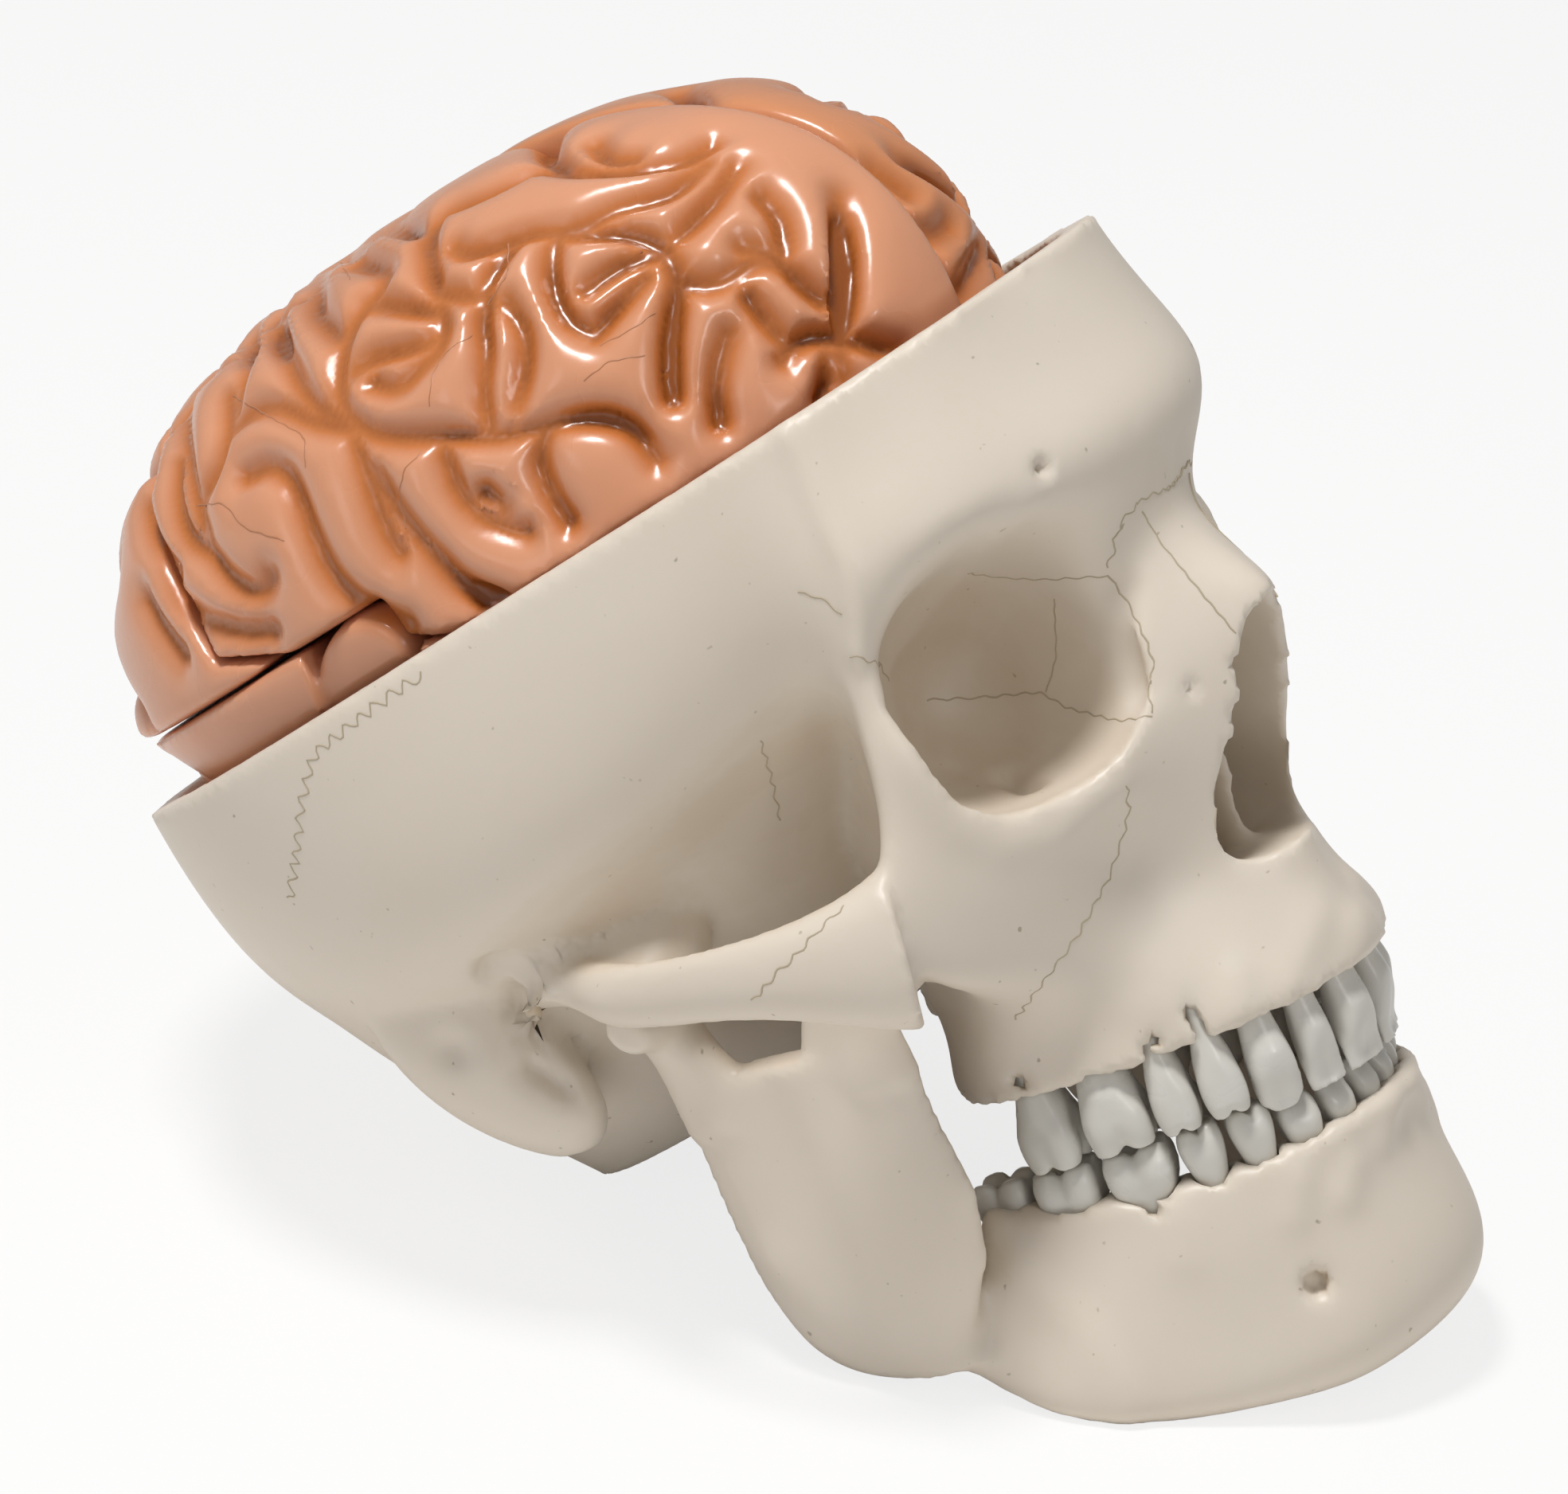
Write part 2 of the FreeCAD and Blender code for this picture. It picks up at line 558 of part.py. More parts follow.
def settle(value):
    """Fill grid points that would let two sheets of the surface meet in one edge."""
    turns = [((1, 0, 0), (0, 1, 0)), ((0, 1, 0), (0, 0, 1)), ((0, 0, 1), (1, 0, 0))]
    changed = True
    while changed:
        changed = False
        for (i, j, k), a in list(value.items()):
            for u, v in turns:
                b = (i + u[0], j + u[1], k + u[2])
                d = (i + v[0], j + v[1], k + v[2])
                c = (b[0] + v[0], b[1] + v[1], b[2] + v[2])
                if c not in value:
                    continue
                inside = (value[i, j, k] < 0, value[b] < 0, value[c] < 0, value[d] < 0)
                if inside == (True, False, True, False):
                    value[b] = -0.05
                    changed = True
                elif inside == (False, True, False, True):
                    value[i, j, k] = -0.05
                    changed = True


def facet_lobe(grid, lobe):
    """Closed facet mesh of one lobe: a point in each crossed cell, a quad on each crossed edge."""
    points, nx, ny, nz = grid
    field = lobe_field(lobe)
    value = {key: field(*p) for key, p in points.items()}
    settle(value)
    spot = {}
    for i in range(nx - 1):
        for j in range(ny - 1):
            for k in range(nz - 1):
                cell = [(i + a, j + b, k + c) for a, b, c in CORNERS]
                inside = sum(value[c] < 0 for c in cell)
                if inside in (0, 8):
                    continue
                total, count = [0.0, 0.0, 0.0], 0
                for p, q in EDGES:
                    a = (i + p[0], j + p[1], k + p[2])
                    b = (i + q[0], j + q[1], k + q[2])
                    if (value[a] < 0) != (value[b] < 0):
                        share = value[a] / (value[a] - value[b])
                        for n in range(3):
                            total[n] += points[a][n] + (points[b][n] - points[a][n]) * share
                        count += 1
                x, y, level = [t / count for t in total]
                spot[i, j, k] = rim_point(x, y, level)
    triangles = []
    for (i, j, k) in spot:
        for axis in range(3):
            b = [i, j, k]
            b[axis] += 1
            one, two = value[i, j, k] < 0, value[tuple(b)] < 0
            if one == two:
                continue
            u, v = [(0, 1, 0), (0, 0, 1)] if axis == 0 else [(0, 0, 1), (1, 0, 0)] if axis == 1 else [(1, 0, 0), (0, 1, 0)]
            cells = [(i, j, k), (i - u[0], j - u[1], k - u[2]),
                     (i - u[0] - v[0], j - u[1] - v[1], k - u[2] - v[2]), (i - v[0], j - v[1], k - v[2])]
            if any(c not in spot for c in cells):
                continue
            a, b2, c, d = [spot[q] for q in cells]
            if not one:
                a, b2, c, d = d, c, b2, a
            if (a - c).Length < (b2 - d).Length:
                triangles += [(a, b2, c), (a, c, d)]
            else:
                triangles += [(a, b2, d), (b2, c, d)]
    return triangles


def solid_from_triangles(triangles):
    mesh = Mesh.Mesh([[tuple(p) for p in t] for t in triangles])
    mesh.decimate(FACET_ERROR, FACET_SAVING)
    shape = Part.Shape()
    shape.makeShapeFromMesh(mesh.Topology, 0.01)
    return Part.makeSolid(Part.Shell(shape.Faces))


def build_brain():
    pieces = {}
    grid = folded_grid()
    for lobe in ("frontoparietal", "temporo_occipital", "cerebellum"):
        solid = solid_from_triangles(facet_lobe(grid, lobe))
        for side, half in zip(("left", "right"), both_sides(solid)):
            pieces[f"brain_{side}_{lobe}"] = half
    top = rim_point(0, STEM_TOP_Y, BRAIN_BASE_LEVEL - PIECE_GAP)
    levels = [(5, 0, -1, 3, 2), (-14, 0, 4, 1, 0), (-26, 0, 13, -1, -2), (-40, 0, 18, -3, -3)]
    stem = stack([(top.z + drop, x, STEM_TOP_Y + back, STEM_RADIUS + wide, STEM_RADIUS + deep)
                  for drop, x, back, wide, deep in levels])
    above = Part.makeBox(60, 80, 40, vec(-30, -40, 0))
    above.rotate(vec(0, 0, 0), vec(1, 0, 0), -RIM_TILT)
    above.translate(top)
    pieces["brain_stem"] = stem.cut(above)
    return pieces


def lowest(points, pitch):
    a = math.radians(pitch)
    return min(p.z * math.cos(a) - p.y * math.sin(a) for p in points)


def rest_pitch(skull, jaw):
    """Pitch at which the lowest points of skull and jaw stand on one table."""
    skull_points = skull.tessellate(0.3)[0]
    jaw_points = jaw.tessellate(0.3)[0]
    low, high = 0.0, 60.0
    for _ in range(40):
        middle = (low + high) / 2
        if lowest(jaw_points, middle) < lowest(skull_points, middle):
            low = middle
        else:
            high = middle
    return middle


def build_all():
    pieces = build_brain()
    cranium, jaw = build_cranium(), build_jaw()
    for name, tooth, pockets, upper in build_teeth():
        for pocket in pockets:
            if upper:
                cranium = cranium.cut(pocket)
            else:
                jaw = jaw.cut(pocket)
        pieces[name] = tooth
    pieces["cranium"], pieces["mandible"] = cranium, jaw
    return pieces


def place_on_table(pieces):
    """Pitch every piece into the resting pose and set the origin under its middle."""
    pitch = rest_pitch(pieces["cranium"], pieces["mandible"])
    for shape in pieces.values():
        shape.rotate(vec(0, 0, 0), vec(1, 0, 0), -pitch)
    bottom = min(shape.optimalBoundingBox().ZMin for shape in pieces.values()) + STANDING_FLAT
    below = Part.makeBox(400, 400, 50, vec(-200, -200, bottom - 50))
    for name in ("cranium", "mandible"):
        pieces[name] = pieces[name].cut(below)
    boxes = [shape.optimalBoundingBox() for shape in pieces.values()]
    middle = (min(box.YMin for box in boxes) + max(box.YMax for box in boxes)) / 2
    for shape in pieces.values():
        shape.translate(vec(0, -middle, -bottom))
    return pitch, middle, bottom


pieces = build_all()
pitch, middle, bottom = place_on_table(pieces)
for name, shape in pieces.items():
    shape.exportStep("parts/" + name + ".step")
hinge = FreeCAD.Rotation(vec(1, 0, 0), -pitch).multVec(vec(0, HINGE_Y, HINGE_Z))
print(f"pitch {pitch:.3f} shift {middle:.3f} {bottom:.3f}")
print(f"hinge line at y {hinge.y - middle:.3f} z {hinge.z - bottom:.3f}")
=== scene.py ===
# Life-size skull with its cap off, a hinged jaw, set teeth and a folded brain in the open braincase.
import math
import bpy
import numpy as np
from mathutils import Matrix, Vector
from mathutils.bvhtree import BVHTree
from mathutils.kdtree import KDTree


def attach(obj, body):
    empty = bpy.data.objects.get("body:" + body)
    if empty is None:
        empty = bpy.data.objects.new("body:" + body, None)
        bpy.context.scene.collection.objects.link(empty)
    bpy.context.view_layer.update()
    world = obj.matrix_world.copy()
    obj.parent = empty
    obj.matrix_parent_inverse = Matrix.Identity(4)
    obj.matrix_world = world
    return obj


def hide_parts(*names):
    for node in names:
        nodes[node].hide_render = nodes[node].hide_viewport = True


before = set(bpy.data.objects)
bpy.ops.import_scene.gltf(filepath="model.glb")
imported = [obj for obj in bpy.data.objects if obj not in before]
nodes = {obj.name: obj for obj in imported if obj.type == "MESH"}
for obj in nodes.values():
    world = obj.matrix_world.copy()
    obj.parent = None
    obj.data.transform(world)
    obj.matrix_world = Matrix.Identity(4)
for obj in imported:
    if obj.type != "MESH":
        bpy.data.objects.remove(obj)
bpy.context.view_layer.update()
bpy.context.scene.view_settings.view_transform = "Standard"

# --- pose -----------------------------------------------------------------
# The skull leans back on its jaw and occiput. Measures below are in the skull's own
# axes in millimetres (x left, y back, z up, zero between the ears) and are set down
# on the table by this pitch and these two offsets.
PITCH = math.radians(26.638)
TABLE_Y = 17.604
TABLE_Z = 57.163


def to_table(points):
    """Points in the skull's axes in millimetres set down on the table, in metres."""
    p = np.atleast_2d(np.asarray(points, float))
    c, s = math.cos(PITCH), math.sin(PITCH)
    y = p[:, 1] * c + p[:, 2] * s + TABLE_Y
    z = -p[:, 1] * s + p[:, 2] * c + TABLE_Z
    return np.column_stack([p[:, 0], y, z]) / 1000


def turned(d):
    """A direction in the skull's axes as it lies on the table."""
    c, s = math.cos(PITCH), math.sin(PITCH)
    return Vector((d[0], d[1] * c + d[2] * s, -d[1] * s + d[2] * c))


def skull_axes(points):
    """Table points in metres back in the skull's axes in millimetres."""
    c, s = math.cos(PITCH), math.sin(PITCH)
    y, z = points[:, 1] * 1000 - TABLE_Y, points[:, 2] * 1000 - TABLE_Z
    return np.column_stack([points[:, 0] * 1000, y * c - z * s, y * s + z * c])


# --- camera ---------------------------------------------------------------
# A long lens about 0.9 m off, to the front right of the skull and above the rim, as
# fitted to the landmarks of the photograph; its three axes are in the skull's axes.
PHOTO_WIDTH, PHOTO_HEIGHT = 1969, 1876
FOCAL_PX = 8007.2
SENSOR_MM = 36.0
EYE = (-753.2, -521.2, 189.9)
EYE_RIGHT = (0.4552, -0.8131, -0.3629)
EYE_DOWN = (-0.3589, 0.2055, -0.9105)
EYE_AHEAD = (0.8149, 0.5447, -0.1983)


def in_scene(name, data):
    """A new object, linked to the scene."""
    made = bpy.data.objects.new(name, data)
    bpy.context.scene.collection.objects.link(made)
    return made


camera = in_scene("camera", bpy.data.cameras.new("camera"))
camera.data.sensor_width = SENSOR_MM
camera.data.lens = FOCAL_PX / PHOTO_WIDTH * SENSOR_MM
right, up, back = turned(EYE_RIGHT), -turned(EYE_DOWN), -turned(EYE_AHEAD)
eye = Vector(to_table(EYE)[0])
turn = Matrix((right, up, back)).transposed().to_quaternion()
camera.matrix_world = Matrix.Translation(eye) @ turn.to_matrix().to_4x4()
camera.data.clip_start, camera.data.clip_end = 0.05, 20
bpy.context.scene.camera = camera


def pixel_ray(px, py):
    """Direction on the table frame that photo pixel (px, py) looks along."""
    across = (px - PHOTO_WIDTH / 2) / FOCAL_PX
    down = (py - PHOTO_HEIGHT / 2) / FOCAL_PX
    return (right * across - up * down - back).normalized()


# --- studio ---------------------------------------------------------------
# A plain pale table top and a white surround. One small lamp high over the skull does
# most of the work; weak ones on the camera's right and left keep the shadows open.
def linear(hex_colour):
    """sRGB hex to linear RGBA."""
    channels = [int(hex_colour[i:i + 2], 16) / 255 for i in (1, 3, 5)]
    return (*(c / 12.92 if c <= 0.04045 else ((c + 0.055) / 1.055) ** 2.4 for c in channels), 1.0)


def add(owner, kind, inputs=None, links=None, **settings):
    """One node with its settings, input values and links {input: (node, output)}."""
    tree = getattr(owner, "node_tree", owner)
    made = tree.nodes.new(kind)
    for name, value in settings.items():
        setattr(made, name, value)
    for name, value in (inputs or {}).items():
        made.inputs[name].default_value = value
    for name, (source, output) in (links or {}).items():
        tree.links.new(source.outputs[output], made.inputs[name])
    return made


def new_material(name):
    """An empty node material with its output and one Principled surface."""
    material = bpy.data.materials.new(name)
    material.use_nodes = True
    material.node_tree.nodes.clear()
    surface = add(material, "ShaderNodeBsdfPrincipled")
    add(material, "ShaderNodeOutputMaterial", links={"Surface": (surface, "BSDF")})
    return material, surface


TABLE_HALF = 3.0
table = in_scene("table_top", bpy.data.meshes.new("table_top"))
corners = [(x * TABLE_HALF, y * TABLE_HALF, 0) for x, y in ((-1, -1), (1, -1), (1, 1), (-1, 1))]
table.data.from_pydata(corners, [], [(0, 1, 2, 3)])
paper, paper_surface = new_material("white_paper")
paper_surface.inputs["Base Color"].default_value = linear("#F1F0EE")
paper_surface.inputs["Roughness"].default_value = 0.9
looked_at = add(paper, "ShaderNodeLightPath")
PLAIN_WHITE = 0.8           # share of plain white in what the eye sees; the rest is the table's shade
share_white = add(paper, "ShaderNodeMath", {1: PLAIN_WHITE}, {0: (looked_at, "Is Camera Ray")},
                  operation="MULTIPLY")
plain_white = add(paper, "ShaderNodeEmission", {"Color": (1, 1, 1, 1), "Strength": 1.0})
blend = add(paper, "ShaderNodeMixShader",
            links={"Fac": (share_white, 0), 1: (paper_surface, "BSDF"), 2: (plain_white, "Emission")})
paper.node_tree.links.new(blend.outputs[0], paper.node_tree.nodes["Material Output"].inputs["Surface"])
table.data.materials.append(paper)

world = bpy.data.worlds.new("surround")
bpy.context.scene.world = world
world.use_nodes = True
world.node_tree.nodes.clear()
WORLD_STRENGTH = 0.28
ray = add(world, "ShaderNodeLightPath")
lit = add(world, "ShaderNodeBackground", {"Color": (1, 1, 1, 1), "Strength": WORLD_STRENGTH})
white = add(world, "ShaderNodeBackground", {"Color": (1, 1, 1, 1), "Strength": 1.0})
mixed = add(world, "ShaderNodeMixShader", links={"Fac": (ray, "Is Camera Ray"), 1: (lit, 0), 2: (white, 0)})
add(world, "ShaderNodeOutputWorld", links={"Surface": (mixed, 0)})


LAMP_TARGET = (0, 0, 0.08)


def lamp(name, place, size, power):
    """A round lamp, size m across and power in W, aimed at the middle of the skull."""
    made = in_scene(name, bpy.data.lights.new(name, "AREA"))
    made.data.shape, made.data.size = "DISK", size
    made.data.energy = power
    made.location = place
    made.rotation_mode = "QUATERNION"
    made.rotation_quaternion = (Vector(place) - Vector(LAMP_TARGET)).to_track_quat("Z", "Y")


lamp("lamp_high", (-0.25, 0.15, 1.25), 0.26, 11.0)
lamp("lamp_front", (-0.55, -1.05, 0.75), 0.35, 1.8)
lamp("lamp_side", (-1.1, 0.35, 0.55), 0.5, 0.7)

# --- skull and jaw --------------------------------------------------------
# Two castings of cream vinyl. Each keeps its own form and is given an even skin of
# small faces, on which the swellings and hollows of the real bone are raised.
BONE_STEP = 0.00125      # m
WELD_REACH = 0.00001                                   # loose corners this close are one, m


def keep_result(made):
    """Turn what the modifiers give into the object's own mesh."""
    shape = bpy.context.evaluated_depsgraph_get()
    finished = bpy.data.meshes.new_from_object(made.evaluated_get(shape))
    made.modifiers.clear()
    made.data = finished


def even_skin(name, node, step):
    """The node's form with faces of one size, drawn back onto its surface."""
    source = nodes[node]
    made = in_scene(name, source.data.copy())
    weld = made.modifiers.new("weld", "WELD")
    weld.merge_threshold = WELD_REACH
    skin = made.modifiers.new("skin", "REMESH")
    skin.mode = "VOXEL"
    skin.voxel_size = step
    draw = made.modifiers.new("draw", "SHRINKWRAP")
    draw.wrap_method = "NEAREST_SURFACEPOINT"
    draw.target = source
    soften = made.modifiers.new("soften", "SMOOTH")
    soften.factor, soften.iterations = 0.5, 3
    keep_result(made)
    made.data.materials.clear()
    return made


def points_of(mesh):
    found = np.empty(len(mesh.vertices) * 3)
    mesh.vertices.foreach_get("co", found)
    return found.reshape(-1, 3)


def normals_of(mesh):
    found = np.empty(len(mesh.vertices) * 3, np.float32)
    mesh.vertex_normals.foreach_get("vector", found)
    return found.reshape(-1, 3).astype(float)


def put_points(mesh, points):
    """Move the mesh's points, none of them below the table."""
    points[:, 2] = np.maximum(points[:, 2], 0.0)
    mesh.vertices.foreach_set("co", points.astype(np.float32).ravel())
    mesh.update()


def smooth_faces(mesh):
    mesh.polygons.foreach_set("use_smooth", [True] * len(mesh.polygons))


def put_value(mesh, name, values):
    """One number per point, for the mesh's material to read."""
    layer = mesh.attributes.new(name, "FLOAT", "POINT")
    layer.data.foreach_set("value", values.astype(np.float32))


def tree_of(mesh):
    return BVHTree.FromPolygons([v.co for v in mesh.vertices], [p.vertices for p in mesh.polygons])


PIXEL_STEP = 5.0        # how closely a line over the photograph is followed, in its pixels


def spread(line, step):
    """Points every step along a line."""
    line = np.asarray(line, float)
    length = np.concatenate([[0], np.cumsum(np.linalg.norm(np.diff(line[:, :3], axis=0), axis=1))])
    at = np.linspace(0, length[-1], max(2, int(length[-1] / step) + 1))
    return np.column_stack([np.interp(at, length, line[:, n]) for n in range(line.shape[1])])


def under_pixels(tree, pixels):
    """The points of a surface that the photo pixels, and the lines between them, fall on."""
    line = spread(pixels, PIXEL_STEP) if len(pixels) > 1 else pixels
    hits = [tree.ray_cast(eye, pixel_ray(px, py))[0] for px, py in line]
    return [hit for hit in hits if hit is not None]


def on_right(points):
    """The points with the left side folded over on to the right."""
    folded = points.copy()
    folded[:, 0] = -np.abs(folded[:, 0])
    return folded


def swell(mesh, mounds):
    """Raise or sink both sides softly round points or lines: (points in m, radius mm, height mm)."""
    points, normals = points_of(mesh), normals_of(mesh)
    folded = on_right(points)
    moved = np.zeros(len(points))
    for places, radius, height in mounds:
        away = np.full(len(points), 1e9)
        for place in places:
            away = np.minimum(away, np.linalg.norm(folded - np.array(place), axis=1))
        moved += height * np.exp(-(away * 1000 / radius) ** 2)
    put_points(mesh, points + normals * moved[:, None] / 1000)


RIM_HEIGHT, RIM_SLOPE = 44.9, math.tan(math.radians(13.3))      # the sawn cut falls towards the back
BELOW_RIM, RIM_FADE = 1.5, 4.0      # ledges are left as they are down to here, and how softly, mm
SETTLE_SHARE = 0.7                  # of the way to the middle of its neighbours in one pass


def to_level(p):
    """Height in mm over the sloping cut, for points in the skull's axes."""
    return p[..., 2] - RIM_HEIGHT + p[..., 1] * RIM_SLOPE


def from_level(p):
    """Points whose third number is their height over the cut, back in the skull's axes."""
    return np.column_stack([p[:, :2], p[:, 2] + RIM_HEIGHT - p[:, 1] * RIM_SLOPE])


def settle_down(mesh, places, passes):
    """Round off ledges near places: (point in m, radius in mm)."""
    points = points_of(mesh)
    folded = on_right(points)
    weight = np.zeros(len(points))
    for place, radius in places:
        away = np.linalg.norm((folded - np.array(place)) * 1000, axis=1) / radius
        weight = np.maximum(weight, np.exp(-away ** 4))
    weight *= np.clip(-(to_level(skull_axes(points)) + BELOW_RIM) / RIM_FADE, 0, 1)
    edges = np.empty(len(mesh.edges) * 2, np.int32)
    mesh.edges.foreach_get("vertices", edges)
    edges = edges.reshape(-1, 2)
    count = np.bincount(edges.ravel(), minlength=len(points))[:, None]
    for _ in range(passes):
        total = np.zeros_like(points)
        for n in range(3):
            total[:, n] = (np.bincount(edges[:, 0], points[edges[:, 1], n], len(points))
                           + np.bincount(edges[:, 1], points[edges[:, 0], n], len(points)))
        points += (total / count - points) * (SETTLE_SHARE * weight)[:, None]
    put_points(mesh, points)


def settle_along(mesh, radius, passes, pixels):
    """Round off the ledge under a line of photo pixels."""
    settle_down(mesh, [(hit, radius) for hit in under_pixels(tree_of(mesh), pixels)], passes)


# Ledges: radius in mm, passes, photo pixels.
NOSE_EDGE = (3.5, 12, [(1597, 856), (1585, 900), (1572, 950), (1560, 1000), (1557, 1050), (1570, 1085)])
ORBIT_END = (9.0, 60, [(1173, 905)])
RAMUS_ROOT = (6.0, 10, [(1238, 1560), (1236, 1620), (1236, 1680)])      # where branch and body join
# Ledges over the brow: place in the skull's axes and radius in mm.
BROW_LEDGES = [((-30, -88, 42), 24), ((-8, -92, 44), 24), ((-50, -70, 40), 20)]
BROW_PASSES = 120
BROW_AND_CHEEK = [      # place in the skull's axes, radius and height in mm
    ((-21, -93, 33), 12, 1.2), ((-40, -84, 28), 10, 0.8), ((-52, -60, 34), 15, -1.2),
    ((-56, -40, 20), 16, -1.0), ((-26, -82, -16), 9, -2.0), ((-50, 12, -12), 9, 0.8),
]
SKULL_MARKS = {     # radius and height in mm, photo pixels
    "temporal_line": (2.0, 0.9, [(992, 551), (1034, 648), (1064, 713), (1077, 785), (1077, 824)]),
    "orbit_margin": (3.0, 0.7, [(1112, 868), (1145, 962), (1198, 1036), (1260, 1062), (1325, 1050),
        (1405, 992)]),
    "orbit_margin_above": (3.0, 0.5, [(1117, 830), (1160, 770), (1215, 705), (1290, 630)]),
    "brow_foramen": (1.1, -2.0, [(1307, 588)]),
    "orbit_slit": (2.0, -2.0, [(1265, 975), (1290, 985)]),
    "lacrimal_groove": (3.2, -1.6, [(1405, 745), (1412, 800), (1425, 860)]),
    "cheek_foramen": (1.0, -1.0, [(1497, 864)]),
    "canine_hollow": (11.0, -1.6, [(1480, 1120)]),
    "ear_recess": (7.0, -3.6, [(680, 1260), (700, 1330)]),
    "ear_pits": (2.2, -1.6, [(670, 1350), (715, 1370)]),
    "occiput_pit": (2.6, -1.6, [(565, 1320)]),
    "temple_hollow": (13.0, -2.0, [(985, 900), (975, 1010)]),
    "canine_root": (3.4, 0.9, [(1655, 1150), (1622, 1225)]),
    "incisor_root": (2.8, 0.7, [(1722, 1120), (1702, 1165)]),
    "premolar_root": (2.8, 0.6, [(1560, 1225), (1548, 1270)]),
    "molar_root": (3.4, 0.6, [(1440, 1275), (1430, 1325)]),
}
CHIN_AND_RAMUS = [
    ((-22, -84, -92), 8, 0.8), ((-34, -62, -74), 9, -0.8), ((-47, -30, -60), 12, -0.7),
]
JAW_MARKS = {
    "oblique_line": (3.2, 0.9, [(1232, 1525), (1300, 1600), (1365, 1680), (1415, 1768)]),
    "chin_foramen": (1.8, -2.4, [(1655, 1613)]),
    "front_roots": (2.6, 0.8, [(1752, 1375), (1735, 1430)]),
    "canine_root": (2.8, 0.8, [(1700, 1465), (1690, 1500)]),
    "premolar_root": (2.8, 0.7, [(1630, 1485), (1625, 1525)]),
    "molar_root": (3.2, 0.6, [(1480, 1535), (1485, 1580)]),
    "angle_rough": (5.0, 0.8, [(985, 1600), (1035, 1650)]),
}


def mounds_of(mesh, placed, marks):
    """Swellings and hollows from places in the skull's axes and from marks on the photograph."""
    tree = tree_of(mesh)
    mounds = [([to_table(place)[0]], radius, height) for place, radius, height in placed]
    for radius, height, pixels in marks.values():
        mounds.append((under_pixels(tree, pixels), radius, height))
    return mounds


cranium = even_skin("cranium_cast", "cranium", BONE_STEP)
settle_down(cranium.data, [(to_table(place)[0], radius) for place, radius in BROW_LEDGES], BROW_PASSES)
settle_along(cranium.data, *NOSE_EDGE)
settle_along(cranium.data, *ORBIT_END)
swell(cranium.data, mounds_of(cranium.data, BROW_AND_CHEEK, SKULL_MARKS))
mandible = even_skin("mandible_cast", "mandible", BONE_STEP)
settle_along(mandible.data, *RAMUS_ROOT)
swell(mandible.data, mounds_of(mandible.data, CHIN_AND_RAMUS, JAW_MARKS))
SHELTER_REACH, SHELTER_RAYS = 0.03, 10      # how far off a facing wall still counts, m, and rays tried
OUTWARD = 1.05                              # over 1, so that no ray points into the surface
CLEAR_OF_SKIN = 0.0006                      # where the rays start, m


def hollow_shade(mesh):
    """How closed in each point is, 0 open to 1 deep in a hollow, for the painted shade in the bone's
    hollows.
    """
    tree = tree_of(mesh)
    ways = np.random.default_rng(4).normal(size=(SHELTER_RAYS, 3))
    ways /= np.linalg.norm(ways, axis=1)[:, None]
    points, normals = points_of(mesh), normals_of(mesh)
    start = points + normals * CLEAR_OF_SKIN
    closed = np.zeros(len(points))
    for way in ways:
        aim = normals * OUTWARD + way
        aim /= np.linalg.norm(aim, axis=1)[:, None]
        for i in range(len(points)):
            if tree.ray_cast(start[i], aim[i], SHELTER_REACH)[0] is not None:
                closed[i] += 1
    return closed / SHELTER_RAYS


# Vinyl, moulded: a satin cream skin with painted shade that makes it warmer and a little
# darker in the hollows, and with faint mottling and pin-sized specks. The patterns
# repeat at about 36 mm for the mottling, 4 mm for the grain and 1.6 mm for the specks.
def cast_vinyl(name, pale, shade_and_mottle, speck):
    material, surface = new_material(name)
    spot = add(material, "ShaderNodeTexCoord")
    shade_depth = add(material, "ShaderNodeAttribute", attribute_name="hollow_shade")
    cloud = add(material, "ShaderNodeTexNoise", {"Scale": 28.0, "Detail": 3.0, "Roughness": 0.55},
                {"Vector": (spot, "Object")})
    # painted shade: the more closed in a point is, the nearer it goes to the darker, warmer colour
    painted_shade_share = add(material, "ShaderNodeMath", {1: 0.55}, {0: (shade_depth, "Fac")}, operation="MULTIPLY")
    mottle = add(material, "ShaderNodeMath", {1: 0.35}, {0: (cloud, "Fac")}, operation="MULTIPLY")
    share = add(material, "ShaderNodeMath", links={0: (painted_shade_share, 0), 1: (mottle, 0)}, operation="ADD",
                use_clamp=True)
    body = add(material, "ShaderNodeMix", links={"Factor": (share, 0)}, data_type="RGBA")
    body.inputs[6].default_value = linear(pale)
    body.inputs[7].default_value = linear(shade_and_mottle)
    dust = add(material, "ShaderNodeTexNoise", {"Scale": 620.0, "Detail": 1.0},
               {"Vector": (spot, "Object")})
    specks = add(material, "ShaderNodeMapRange", {"From Min": 0.76, "From Max": 0.82},
                 {"Value": (dust, "Fac")})
    speck_share = add(material, "ShaderNodeMath", {1: 0.6}, {0: (specks, "Result")}, operation="MULTIPLY")
    dusted = add(material, "ShaderNodeMix", links={"Factor": (speck_share, 0)}, data_type="RGBA")
    material.node_tree.links.new(body.outputs[2], dusted.inputs[6])
    dusted.inputs[7].default_value = linear(speck)
    material.node_tree.links.new(dusted.outputs[2], surface.inputs["Base Color"])
    gloss = add(material, "ShaderNodeMapRange", {"To Min": 0.36, "To Max": 0.5}, {"Value": (cloud, "Fac")})
    material.node_tree.links.new(gloss.outputs["Result"], surface.inputs["Roughness"])
    grain = add(material, "ShaderNodeTexNoise", {"Scale": 240.0, "Detail": 4.0},
                {"Vector": (spot, "Object")})
    dents = add(material, "ShaderNodeBump", {"Strength": 0.10, "Distance": 0.0005},
                {"Height": (grain, "Fac")})
    material.node_tree.links.new(dents.outputs["Normal"], surface.inputs["Normal"])
    surface.inputs["Subsurface Weight"].default_value = 0.12
    surface.inputs["Subsurface Radius"].default_value = (1.0, 0.8, 0.55)
    surface.inputs["Subsurface Scale"].default_value = 0.003
    surface.inputs["IOR"].default_value = 1.5
    return material
